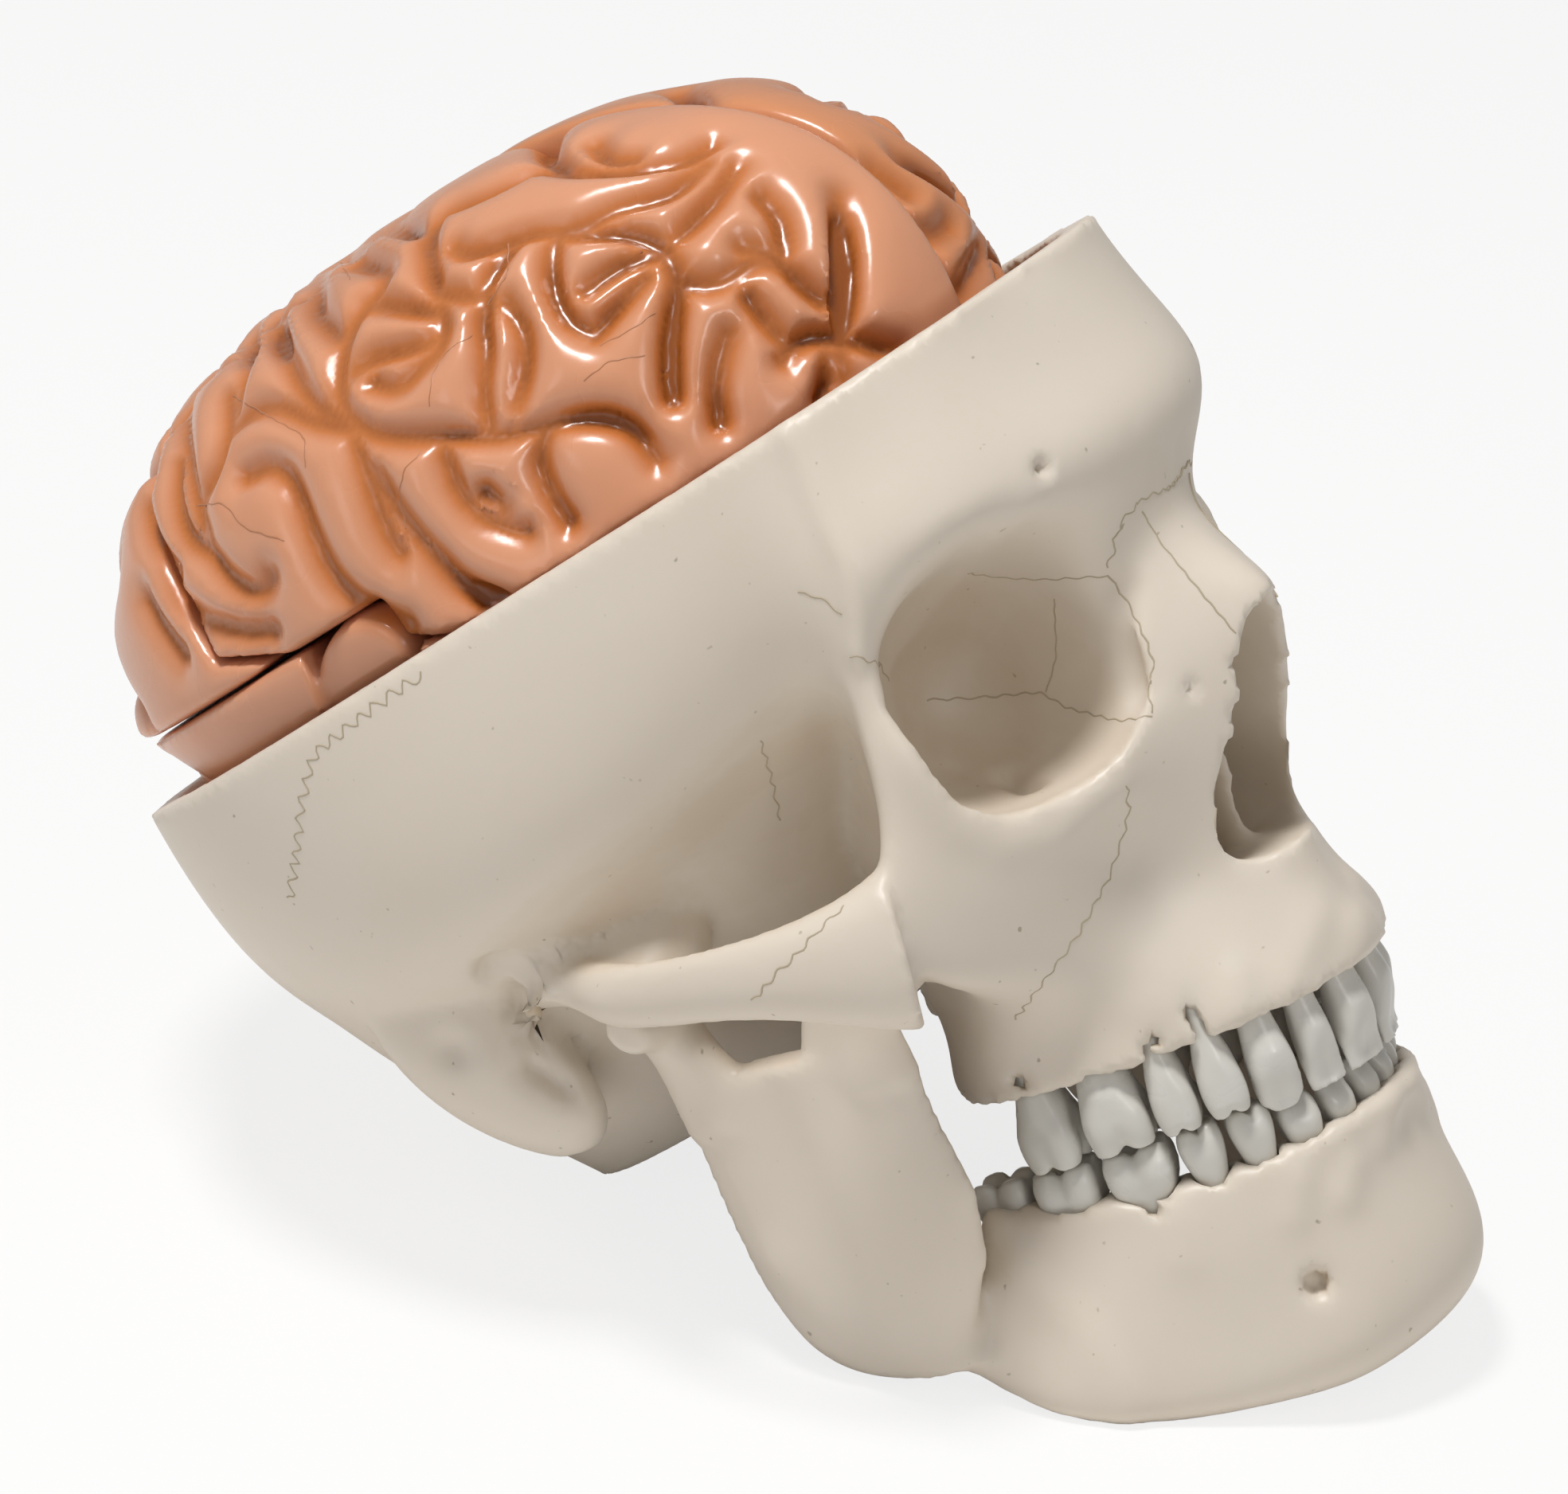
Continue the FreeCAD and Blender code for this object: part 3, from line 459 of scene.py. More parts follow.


# pale cream; a darker warm colour for the painted shade in the hollows and for the mottling; specks
bone = cast_vinyl("cast_vinyl_cream", "#E2D8CB", "#CDB99C", "#8C7B60")
for cast, node, body in ((cranium, "cranium", "skull"), (mandible, "mandible", "jaw")):
    # how closed in each point is, read by the material as painted shade
    closed = hollow_shade(cast.data)
    put_value(cast.data, "hollow_shade", closed)
    smooth_faces(cast.data)
    cast.data.materials.append(bone)
    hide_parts(node)
    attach(cast, body)

# --- brain ----------------------------------------------------------------
# Six moulded lobes and a stem that lie loose in the braincase. Their folds are grown
# as one field over the whole brain and then parted along the same seams as the
# solids, so that furrows run across a seam as they do on the casting.
RIM_FRONT, RIM_BACK, RIM_HALF_WIDTH, WALL = -86.5, 77.0, 68.0, 5.6
BRAIN_TOP, BRAIN_FRONT, BRAIN_BACK, BRAIN_HALF_WIDTH = 55.0, -74.0, 74.5, 59.0
BRAIN_CLEARANCE = 4.6
FLOOR_LEVEL, BRAIN_BASE_LEVEL = -76.0, -46.0
TENTORIUM_LEVEL, TENTORIUM_FRONT, CEREBELLUM_FRONT = 9.0, 26.0, 13.0
PIECE_GAP = 0.3
CROWN_LEAN = 12.0                   # how far the front draws in at the top, mm
OVERHANG = 0.7                      # the back's reach over the rim for each mm of height
NARROWER_FRONT = 0.16               # share of the width that is lost towards the front
PLAN_ROUND, CROWN_ROUND = 2.3, 2.6  # 2 is an ellipse, more is fuller
HOLLOW = [      # level from the cut, front, back and half width of the braincase
    (0, RIM_FRONT + WALL, RIM_BACK - WALL, RIM_HALF_WIDTH - WALL),
    (-14, RIM_FRONT + WALL - 3.5, RIM_BACK - WALL - 4, RIM_HALF_WIDTH - WALL + 0.5),
    (-22, RIM_FRONT + WALL + 8, RIM_BACK - WALL - 7, RIM_HALF_WIDTH - WALL - 1.5),
    (-30, -56, RIM_BACK - WALL - 11, RIM_HALF_WIDTH - WALL - 4),
    (-40, -42, 52, 53), (-52, -36, 43.5, 44), (-65, -26, 36, 32), (FLOOR_LEVEL, -14, 29, 20),
]


def brain_outline(level):
    """Front, back and half width of the brain at levels from the cut plane."""
    above = np.maximum(level, 0.0)
    lean = CROWN_LEAN * (above / BRAIN_TOP) ** 1.5
    over_rim = RIM_BACK - WALL - BRAIN_CLEARANCE + OVERHANG * above
    rows = np.array(HOLLOW[::-1])
    front = np.maximum(np.interp(level, rows[:, 0], rows[:, 1]) + BRAIN_CLEARANCE, BRAIN_FRONT)
    back = np.interp(level, rows[:, 0], rows[:, 2]) - BRAIN_CLEARANCE
    half = np.minimum(np.interp(level, rows[:, 0], rows[:, 3]) - BRAIN_CLEARANCE, BRAIN_HALF_WIDTH)
    up = level >= 0
    return (np.where(up, BRAIN_FRONT + lean, front),
            np.where(up, np.minimum(BRAIN_BACK, over_rim) + lean * 0.5, back),
            np.where(up, BRAIN_HALF_WIDTH, half))


def brain_form(x, y, level):
    """Way to the unfolded surface, negative inside."""
    front, back, half = brain_outline(level)
    middle, reach = (front + back) / 2, (back - front) / 2
    egg = 1.0 - NARROWER_FRONT * np.clip((middle - y) / reach, 0.0, 1.2) ** 1.5
    across = (np.abs(x) / (half * egg)) ** PLAN_ROUND + (np.abs(y - middle) / reach) ** PLAN_ROUND
    raised = (np.maximum(level, 0) / BRAIN_TOP) ** CROWN_ROUND
    scale = (across ** (CROWN_ROUND / PLAN_ROUND) + raised) ** (1 / CROWN_ROUND)
    radius = np.sqrt(x * x + (y - middle) ** 2 + np.maximum(level, 0) ** 2)
    return radius * (1 - 1 / np.maximum(scale, 0.05))


# Furrows of the near half, as they run over the photograph in its pixels.
SULCI = {
    "hook_top": [(893, 169), (855, 191), (791, 201), (721, 204), (676, 198), (638, 220), (593, 242),
        (548, 258), (529, 281), (528, 312), (539, 357)],
    "hook_inside": [(561, 300), (574, 312), (606, 300), (651, 284), (689, 278), (721, 279), (746, 261),
        (784, 246), (835, 237), (864, 214), (883, 191)],
    "hook_end": [(539, 357), (574, 365), (601, 365), (609, 332), (628, 306), (644, 288)],
    "middle": [(695, 281), (686, 306), (686, 338), (692, 367), (708, 399), (743, 415)],
    "slot_one": [(628, 373), (651, 402), (657, 434), (654, 466), (644, 507)],
    "slot_two": [(603, 367), (596, 402), (606, 434), (599, 472), (599, 510), (612, 542)],
    "curl_out": [(542, 376), (552, 408), (539, 440), (510, 459), (503, 475), (494, 488), (478, 485),
        (459, 475)],
    "c_out": [(415, 415), (389, 389), (386, 357), (392, 325), (408, 300), (440, 284), (478, 274),
        (517, 281)],
    "c_in": [(440, 319), (469, 325), (480, 335), (469, 351), (450, 370), (430, 402), (418, 434),
        (413, 472), (415, 497), (424, 513)],
    "step_top": [(450, 370), (485, 376), (536, 383)],
    "step_low": [(434, 459), (459, 440), (497, 434), (529, 427), (548, 408)],
    "side": [(424, 513), (440, 533), (472, 547), (523, 548), (574, 545), (612, 552), (657, 542),
        (689, 533), (721, 523), (765, 523), (797, 536), (823, 577)],
    "back_one": [(332, 357), (335, 395), (348, 440), (364, 478), (389, 510), (424, 529)],
    "back_two": [(306, 415), (305, 446), (290, 475), (282, 510)],
    "long_top": [(282, 529), (306, 507), (338, 504), (376, 523), (424, 533)],
    "long_in": [(297, 596), (325, 580), (351, 593), (367, 631), (383, 676), (408, 727), (446, 765),
        (504, 791)],
    "long_out": [(430, 542), (446, 587), (462, 631), (478, 676), (494, 695)],
    "low_out": [(459, 593), (485, 638), (510, 670), (542, 702), (574, 740), (625, 762)],
    "temple_one": [(548, 561), (561, 606), (580, 638), (612, 663), (657, 670)],
    "temple_pit": [(603, 619), (628, 641)],
    "temple_two": [(689, 533), (670, 555), (673, 593), (692, 631), (711, 657)],
    "wedge_top": [(708, 284), (753, 281), (797, 284), (835, 303)],
    "wedge_in": [(733, 357), (765, 332), (797, 312), (835, 309)],
    "wedge_front": [(835, 309), (855, 344), (845, 395), (841, 446), (845, 497)],
    "wedge_low": [(743, 415), (765, 389), (791, 357), (807, 341)],
    "front_slot": [(918, 418), (909, 446), (899, 485), (906, 529)],
    "front_top": [(848, 290), (883, 258), (906, 230), (925, 198)],
    "front_low": [(861, 348), (893, 357), (918, 348), (941, 325), (963, 312), (995, 332)],
    "upper_left": [(561, 201), (529, 236), (504, 252), (459, 265), (440, 281)],
    "crown_pit": [(686, 156), (681, 185), (708, 199)],
    "crown_slot": [(743, 169), (759, 188), (791, 185)],
    "rear_one": [(223, 491), (220, 548), (226, 593), (233, 631), (246, 676)],
    "rear_two": [(274, 491), (274, 529), (265, 574), (249, 606), (235, 635)],
    "rear_low": [(210, 574), (207, 625), (223, 676), (255, 695), (274, 727), (306, 746), (332, 745),
        (328, 726)],
    "rear_base": [(191, 702), (210, 753), (249, 784), (300, 797), (332, 794)],
    "rear_slot": [(172, 753), (191, 791), (217, 823)],
    "rear_top": [(344, 341), (376, 322), (405, 297)],
    "rear_mid": [(230, 475), (268, 446), (303, 408)],
    "rear_edge": [(169, 631), (185, 689), (210, 721)],
    "brow_in": [(937, 304), (969, 304), (989, 323), (1012, 353), (1038, 372)],
    "brow_low": [(989, 450), (999, 424), (1034, 418), (1086, 424), (1138, 442)],
    "brow_slot": [(1047, 427), (1049, 466), (1041, 505)],
    "brow_back": [(944, 369), (966, 401), (989, 424)],
    "brow_top": [(960, 239), (986, 265), (989, 304)],
}
# Furrows on the far half that show past the midline.
FAR_SULCI = {
    "far_one": [(1103, 271), (1145, 284), (1177, 291), (1203, 277)],
    "far_two": [(1106, 323), (1135, 323), (1158, 310)],
    "far_three": [(1138, 346), (1171, 382), (1210, 370)],
    "far_four": [(1213, 379), (1229, 340), (1246, 307)],
    "far_five": [(1021, 210), (1038, 232), (1047, 258)],
    "far_six": [(1106, 203), (1129, 216), (1148, 232)],
    "far_seven": [(938, 150), (957, 169), (989, 191)],
    "far_eight": [(848, 105), (883, 128), (918, 137)],
}
# Furrows at the back, over the top and below the cut, where the photograph shows
# none: degrees round from the front and degrees up from the cut.
HIDDEN_SULCI = [
    [(62, -18), (90, -6), (115, -10)],
    [(140, -12), (150, -22)],
    [(8, 18), (20, 2), (24, -12)],
    [(172, -4), (163, 2), (156, -3), (148, 4), (141, -2)],
    [(176, 9), (168, 14), (160, 9), (151, 15), (143, 10)],
    [(174, 22), (166, 27), (157, 21), (148, 27)],
    [(160, 9), (163, 2)],
    [(151, 15), (157, 21)],
    [(175, 36), (165, 40), (156, 34), (147, 40), (140, 36)],
    [(174, 48), (162, 53), (150, 47), (140, 52)],
    [(168, 60), (152, 64), (138, 58), (126, 62)],
    [(156, 34), (157, 27)],
    [(150, 47), (147, 40)],
    [(160, 70), (135, 73), (110, 70)],
    [(174, -16), (160, -12), (148, -18)],
]


BRAIN_NEAREST, BRAIN_FARTHEST = 820.0, 1080.0       # how far from the camera it can lie, mm


def on_brain(pixels):
    """Where photo pixels meet the unfolded brain or pass nearest to it, in the skull's axes."""
    found = []
    for px, py in pixels:
        across, down = (px - PHOTO_WIDTH / 2) / FOCAL_PX, (py - PHOTO_HEIGHT / 2) / FOCAL_PX
        way = np.array(EYE_AHEAD) + across * np.array(EYE_RIGHT) + down * np.array(EYE_DOWN)
        way /= np.linalg.norm(way)
        far = np.arange(BRAIN_NEAREST, BRAIN_FARTHEST, 0.5)
        p = np.array(EYE) + far[:, None] * way
        outside = brain_form(p[:, 0], p[:, 1], to_level(p))
        found.append(p[np.argmax(outside < 0) if outside.min() < 0 else np.argmin(outside)])
    return np.array(found)


def eased(line, step, passes):
    """Points every step along the line, with its corners rounded."""
    line = spread(line, step)
    for _ in range(passes):
        line[1:-1] = (line[:-2] + 2 * line[1:-1] + line[2:]) / 4
    return line


def from_angles(line):
    """Points on the unfolded brain in directions given in degrees."""
    found = []
    for round_deg, up_deg in line:
        a, e = math.radians(round_deg), math.radians(up_deg)
        way = np.array([-math.sin(a) * math.cos(e), -math.cos(a) * math.cos(e), math.sin(e)])
        out = np.arange(5.0, 100.0, 0.25)       # mm from the middle of the cut
        p = out[:, None] * way
        outside = brain_form(p[:, 0], p[:, 1], p[:, 2]) > 0
        found.append(p[np.argmax(outside)])
    return from_level(np.array(found))


SULCUS_STEP, SULCUS_PASSES = 1.2, 6     # mm between points of a furrow, and passes that round its corners
near_lines = [eased(on_brain(line), SULCUS_STEP, SULCUS_PASSES) for line in SULCI.values()]
far_lines = [eased(on_brain(line), SULCUS_STEP, SULCUS_PASSES) for line in FAR_SULCI.values()]
hidden_lines = [eased(from_angles(line), SULCUS_STEP, SULCUS_PASSES) for line in HIDDEN_SULCI]
FOLD_STEP = 0.9
FOLD_DEEP, FOLD_WIDE = 4.2, 1.8     # a furrow, and how fast its rounded banks rise, mm
FOLD_SOFT = 0.5                     # round bottom of a furrow, mm
FIELD_SLOPE = 0.84                  # true depth over the field's depth
GLAZE_WIDE, GLAZE_EDGE = 1.6, 1.3   # how far the glaze spreads from a furrow, mm, and how sharp it ends
GLAZE_UNDER = 2.0                   # mm below the furrows' floor in which it fades out
NET_SHARE = 0.6                     # of the way to the middle of its neighbours that a point goes
FURROW_REACH = 14.0                 # past this a furrow no longer counts, mm
BAND_IN, BAND_OUT = -9, 6           # the skin of the field in which furrows are cut, mm


def nearest_line(points, lines):
    """Distance in mm from each point to the nearest furrow."""
    marks = np.concatenate(lines)
    tree = KDTree(len(marks))
    for n, mark in enumerate(marks):
        tree.insert(mark, n)
    tree.balance()
    return np.array([min(FURROW_REACH, tree.find(p)[2]) for p in points])


def crossed_cells(values):
    """Points and quads of the closed surface where a grid of values changes sign."""
    inside = values < 0
    cells = np.array(values.shape) - 1
    total, count = np.zeros(tuple(cells) + (3,)), np.zeros(tuple(cells))
    crossings = []
    for axis in range(3):
        low = [slice(None)] * 3
        high = [slice(None)] * 3
        low[axis], high[axis] = slice(0, -1), slice(1, None)
        a, b = values[tuple(low)], values[tuple(high)]
        cross = inside[tuple(low)] != inside[tuple(high)]
        crossings.append((cross, inside[tuple(low)]))
        share = np.where(cross, a / np.where(cross, a - b, 1), 0)
        u, v = [n for n in range(3) if n != axis]
        for du in (0, 1):
            for dv in (0, 1):
                cut = [slice(None)] * 3
                cut[u] = slice(du, du + cells[u])
                cut[v] = slice(dv, dv + cells[v])
                met = cross[tuple(cut)]
                total[..., axis] += np.where(met, share[tuple(cut)], 0)
                total[..., u] += np.where(met, du, 0)
                total[..., v] += np.where(met, dv, 0)
                count += met
    used = count > 0
    number = np.full(tuple(cells), -1)
    number[used] = np.arange(used.sum())
    points = np.argwhere(used) + total[used] / count[used][:, None]
    quads = []
    for axis in range(3):
        u, v = ((1, 2), (2, 0), (0, 1))[axis]
        cross, first_inside = crossings[axis]
        at = np.argwhere(cross)
        at = at[(at[:, u] >= 1) & (at[:, v] >= 1) & (at[:, u] < cells[u]) & (at[:, v] < cells[v])]
        step_u, step_v = np.eye(3, dtype=int)[u], np.eye(3, dtype=int)[v]
        ring = [at - step_u - step_v, at - step_v, at, at - step_u]
        ids = np.column_stack([number[tuple(r.T)] for r in ring])
        outward = first_inside[tuple(at.T)]
        quads.append(np.where(outward[:, None], ids, ids[:, ::-1]))
    return points, np.concatenate(quads)


def evened(points, quads):
    """The points of a net drawn towards the middle of their neighbours."""
    edges = np.concatenate([quads[:, [n, (n + 1) % 4]] for n in range(4)])
    count = np.bincount(edges.ravel(), minlength=len(points))[:, None]
    total = np.zeros_like(points)
    np.add.at(total, edges[:, 0], points[edges[:, 1]])
    np.add.at(total, edges[:, 1], points[edges[:, 0]])
    return points * (1 - NET_SHARE) + total / count * NET_SHARE


# The near half's box with a little room round it: across, back and level, mm.
grid_low = np.array([-66.0, BRAIN_FRONT - 6, FLOOR_LEVEL - 4])
grid_high = np.array([4.0, BRAIN_BACK + 12, BRAIN_TOP + 5])
grid_size = ((grid_high - grid_low) / FOLD_STEP).astype(int) + 1
grid_rows = [grid_low[n] + np.arange(grid_size[n]) * FOLD_STEP for n in range(3)]
gx, gy, gl = np.meshgrid(*grid_rows, indexing="ij")
form = brain_form(gx, gy, gl)
band = (form > BAND_IN) & (form < BAND_OUT)
places = from_level(np.column_stack([gx[band], gy[band], gl[band]]))


def aside_of(points, lines, depth):
    """Distance in mm from the nearest furrow, measured along the surface."""
    return np.sqrt(np.maximum(nearest_line(points, lines) ** 2 - (FIELD_SLOPE * depth) ** 2, 0))


def fold(lines):
    """The field of one half with its furrows cut in."""
    away = np.sqrt(aside_of(places, lines, form[band]) ** 2 + FOLD_SOFT ** 2) - FOLD_SOFT
    folded = form.copy()
    folded[band] += FOLD_DEEP * np.exp(-away / FOLD_WIDE)
    return folded


def both(a, b, ease_mm):
    """The overlap of two forms with its edge rounded."""
    return (a + b + np.sqrt((a - b) ** 2 + ease_mm ** 2)) / 2


lobule, notch_pit = on_brain([(448, 858), (392, 812)])
LOBULE_SUNK, LOBULE_SIZE = 7.0, (10.0, 9.5, 8.5)        # the rounded side of the cerebellum, mm
LOBULE_UNDER, LOBULE_CLEAR = 2.0, 1.1                   # mm it stays under the surface, and its room
PIT_SIZE = (16.0, 7.0, 3.6)                             # the dark notch over it, mm
TEMPLE_SEAM = (0.35, -50, -14)      # rise of the seam over the temple, and one place on it, back and level
REAR_SEAM = (0.52, 30, 14)          # lean of the seam down the back, and one place on it
TENTORIUM_LEAN, TENTORIUM_WINGS, TENTORIUM_FALL = 0.3, 0.5, 0.6
CEREBELLUM_FLARE = 0.12             # how the gap in front of the cerebellum widens from the middle
MIDLINE_ROUND, SEAM_ROUND, UNDER_ROUND, PIT_ROUND = 1.6, 1.2, 1.0, 2.0      # rounded edges, mm


def inside_egg(place, sunk, size):
    """Under 1 inside an egg shape that lies sunk mm inside a place on the surface."""
    return np.sqrt(((gx - place[0] - sunk) / size[0]) ** 2 + ((gy - place[1]) / size[1]) ** 2
                   + ((gl - to_level(place)) / size[2]) ** 2)


def lobe_values(lobe, folded):
    """The field of one piece of the near half, parted along its seams."""
    gap = PIECE_GAP / 2
    rise, seam_y, seam_level = TEMPLE_SEAM
    low = (rise * (gy - seam_y) + seam_level - gl) / math.hypot(1, rise)
    lean, seam_y, seam_level = REAR_SEAM
    rear = ((gy - seam_y) - (gl - seam_level) * lean) / math.hypot(1, lean)
    behind = gy - TENTORIUM_FRONT - TENTORIUM_LEAN * (gl - TENTORIUM_LEVEL) + TENTORIUM_WINGS * np.abs(gx)
    behind = behind / math.hypot(1, TENTORIUM_FALL)
    under = TENTORIUM_LEVEL - gl
    side = gap + gx
    seat = FLOOR_LEVEL + PIECE_GAP - gl
    round_part = inside_egg(lobule, LOBULE_SUNK, LOBULE_SIZE)
    pit_part = inside_egg(notch_pit, 0.0, PIT_SIZE)
    if lobe == "cerebellum":
        face = np.maximum(CEREBELLUM_FRONT - gy, gap + CEREBELLUM_FLARE * np.abs(gx) - behind)
        body = both(np.maximum.reduce([folded, side, face, seat]), gap - under, UNDER_ROUND)
        return np.minimum(body, np.maximum((round_part - 1) * LOBULE_SIZE[0], form + LOBULE_UNDER))
    notch = np.minimum(under, behind) + gap
    half = both(folded, side, MIDLINE_ROUND)
    if lobe == "frontoparietal":
        return both(half, np.maximum.reduce([low + gap, rear + gap, notch]), SEAM_ROUND)
    rest = both(half, np.minimum(gap - low, gap - rear), SEAM_ROUND)
    cut = np.maximum(rest, (LOBULE_CLEAR - round_part) * LOBULE_SIZE[0])
    cut = both(cut, (1 - pit_part) * PIT_SIZE[1], PIT_ROUND)
    return np.maximum(both(cut, notch, UNDER_ROUND), BRAIN_BASE_LEVEL - gl)


# Glossy vinyl, moulded and painted: salmon crowns with an orange-brown glaze that has
# run down into the furrows, under a clear shiny skin. The glaze drifts over about 33 mm,
# and the skin ripples every 8 mm or so.
def painted_vinyl(name, crown, flank, deep):
    material, surface = new_material(name)
    spot = add(material, "ShaderNodeTexCoord")
    furrow = add(material, "ShaderNodeAttribute", attribute_name="furrow")
    drift = add(material, "ShaderNodeTexNoise", {"Scale": 30.0, "Detail": 3.0},
                {"Vector": (spot, "Object")})
    wander = add(material, "ShaderNodeMapRange", {"To Min": -0.16, "To Max": 0.30},
                 {"Value": (drift, "Fac")})
    glaze = add(material, "ShaderNodeMath", links={0: (furrow, "Fac"), 1: (wander, "Result")},
                operation="ADD", use_clamp=True)
    ramp = add(material, "ShaderNodeValToRGB", links={"Fac": (glaze, 0)})
    stops = ramp.color_ramp.elements
    stops[0].position, stops[0].color = 0.12, linear(crown)
    stops[1].position, stops[1].color = 0.95, linear(deep)
    middle = stops.new(0.5)
    middle.color = linear(flank)
    material.node_tree.links.new(ramp.outputs["Color"], surface.inputs["Base Color"])
    gloss = add(material, "ShaderNodeMapRange", {"To Min": 0.20, "To Max": 0.34}, {"Value": (drift, "Fac")})
    material.node_tree.links.new(gloss.outputs["Result"], surface.inputs["Roughness"])
    ripple = add(material, "ShaderNodeTexNoise", {"Scale": 130.0, "Detail": 3.0},
                 {"Vector": (spot, "Object")})
    dents = add(material, "ShaderNodeBump", {"Strength": 0.12, "Distance": 0.0008},
                {"Height": (ripple, "Fac")})
    material.node_tree.links.new(dents.outputs["Normal"], surface.inputs["Normal"])
    surface.inputs["Coat Weight"].default_value = 0.25
    surface.inputs["Coat Roughness"].default_value = 0.18
    surface.inputs["Subsurface Weight"].default_value = 0.12
    surface.inputs["Subsurface Radius"].default_value = (1.0, 0.45, 0.25)
    surface.inputs["Subsurface Scale"].default_value = 0.003
    return material


flesh = painted_vinyl("painted_vinyl_salmon", "#DA9A76", "#C67740", "#94501C")
# The left half: a more orange glaze, and darker throughout as painted shade.
orange_and_shaded = painted_vinyl("painted_vinyl_orange_and_shaded", "#D28D62", "#BC6E36", "#8E481A")
FAR_APART = 5.0         # a near furrow nearer than this to one traced on the left isn't mirrored, mm
traced_left = [line * [-1, 1, 1] for line in far_lines]
left_points = np.concatenate(traced_left)
mirrored = [line for line in near_lines
            if np.linalg.norm(line[:, None] - left_points[None], axis=2).min() > FAR_APART]
HALVES = {      # the furrows of each half, as if it were the right one, and its paint
    "right": (near_lines + hidden_lines, flesh),
    "left": (mirrored + traced_left + hidden_lines, orange_and_shaded),
}
for side, (lines, paint) in HALVES.items():
    folded = fold(lines)
    for lobe in ("frontoparietal", "temporo_occipital", "cerebellum"):
        name = f"brain_{side}_{lobe}"
        points, quads = crossed_cells(lobe_values(lobe, folded))
        points = evened(points, quads) * FOLD_STEP + grid_low
        sunk = brain_form(points[:, 0], points[:, 1], points[:, 2])
        points = from_level(points)
        furrow = np.exp(-(aside_of(points, lines, sunk) / GLAZE_WIDE) ** GLAZE_EDGE)
        furrow *= np.clip(1 + (sunk + FOLD_DEEP + GLAZE_UNDER) / GLAZE_UNDER, 0, 1)
        if side == "left":
            points[:, 0] *= -1
            quads = quads[:, ::-1]
        mesh = bpy.data.meshes.new(name + "_moulding")
        mesh.from_pydata(to_table(points).tolist(), [], quads.tolist())
        made = in_scene(name + "_moulding", mesh)
        put_value(mesh, "furrow", furrow)
        smooth_faces(mesh)
        mesh.materials.append(paint)
        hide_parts(name)
        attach(made, "skull")

# The stem lies under the lobes and keeps its plain form.
stem = nodes["brain_stem"]
stem.data.materials.clear()
stem.data.materials.append(flesh)

# --- teeth ----------------------------------------------------------------
# Hard resin teeth, cast one by one and set in the sockets of both jaws. They are
# grey-white and shinier than the bone, with faint clouds about 6 mm across.
enamel, enamel_surface = new_material("cast_resin_grey_white")
tooth_spot = add(enamel, "ShaderNodeTexCoord")
tooth_cloud = add(enamel, "ShaderNodeTexNoise", {"Scale": 160.0, "Detail": 2.0},
                  {"Vector": (tooth_spot, "Object")})
tooth_mix = add(enamel, "ShaderNodeMix", links={"Factor": (tooth_cloud, "Fac")}, data_type="RGBA")
tooth_mix.inputs[6].default_value = linear("#DEDCD6")
tooth_mix.inputs[7].default_value = linear("#CFCBC1")
enamel.node_tree.links.new(tooth_mix.outputs[2], enamel_surface.inputs["Base Color"])
tooth_gloss = add(enamel, "ShaderNodeMapRange", {"To Min": 0.22, "To Max": 0.36},
                  {"Value": (tooth_cloud, "Fac")})
enamel.node_tree.links.new(tooth_gloss.outputs["Result"], enamel_surface.inputs["Roughness"])
TOOTH_STEP = 0.00045            # m
CROWN_LONG, CROWN_FADE = 6.0, 2.5           # the crown's length, and how it passes into the root, mm
CORNERS_OUT, MOLAR_CORNERS_OUT = 0.05, 0.085    # how far the crown's corners stand out
# How wide the crown is at its biting edge, and then at so many mm from it.
BITE_SHARE = {"canine": 0.62, "premolar": 0.84, "molar": 0.93, "incisor": 0.93}
FULL_AT, FULL_SHARES = (0, 1.5, 4.0, 7.0), (0.97, 1.0, 0.86)
WIDTH_STEP, WIDTH_LEVELS, MOST_STRETCH = 0.5, 15, 1.9
ROOT_FROM, ROOT_NARROWS = 9.0, 0.14         # mm from the bite, and how much thinner the root is
CUSP_DEEP, CUSP_WIDE, CUSP_FADE = 0.9, 0.22, 2.2        # grooves between the cusps
SLOT_DEEP, SLOT_WIDE, SLOT_FADE = 0.55, 0.16, 5.0       # grooves down a molar's sides


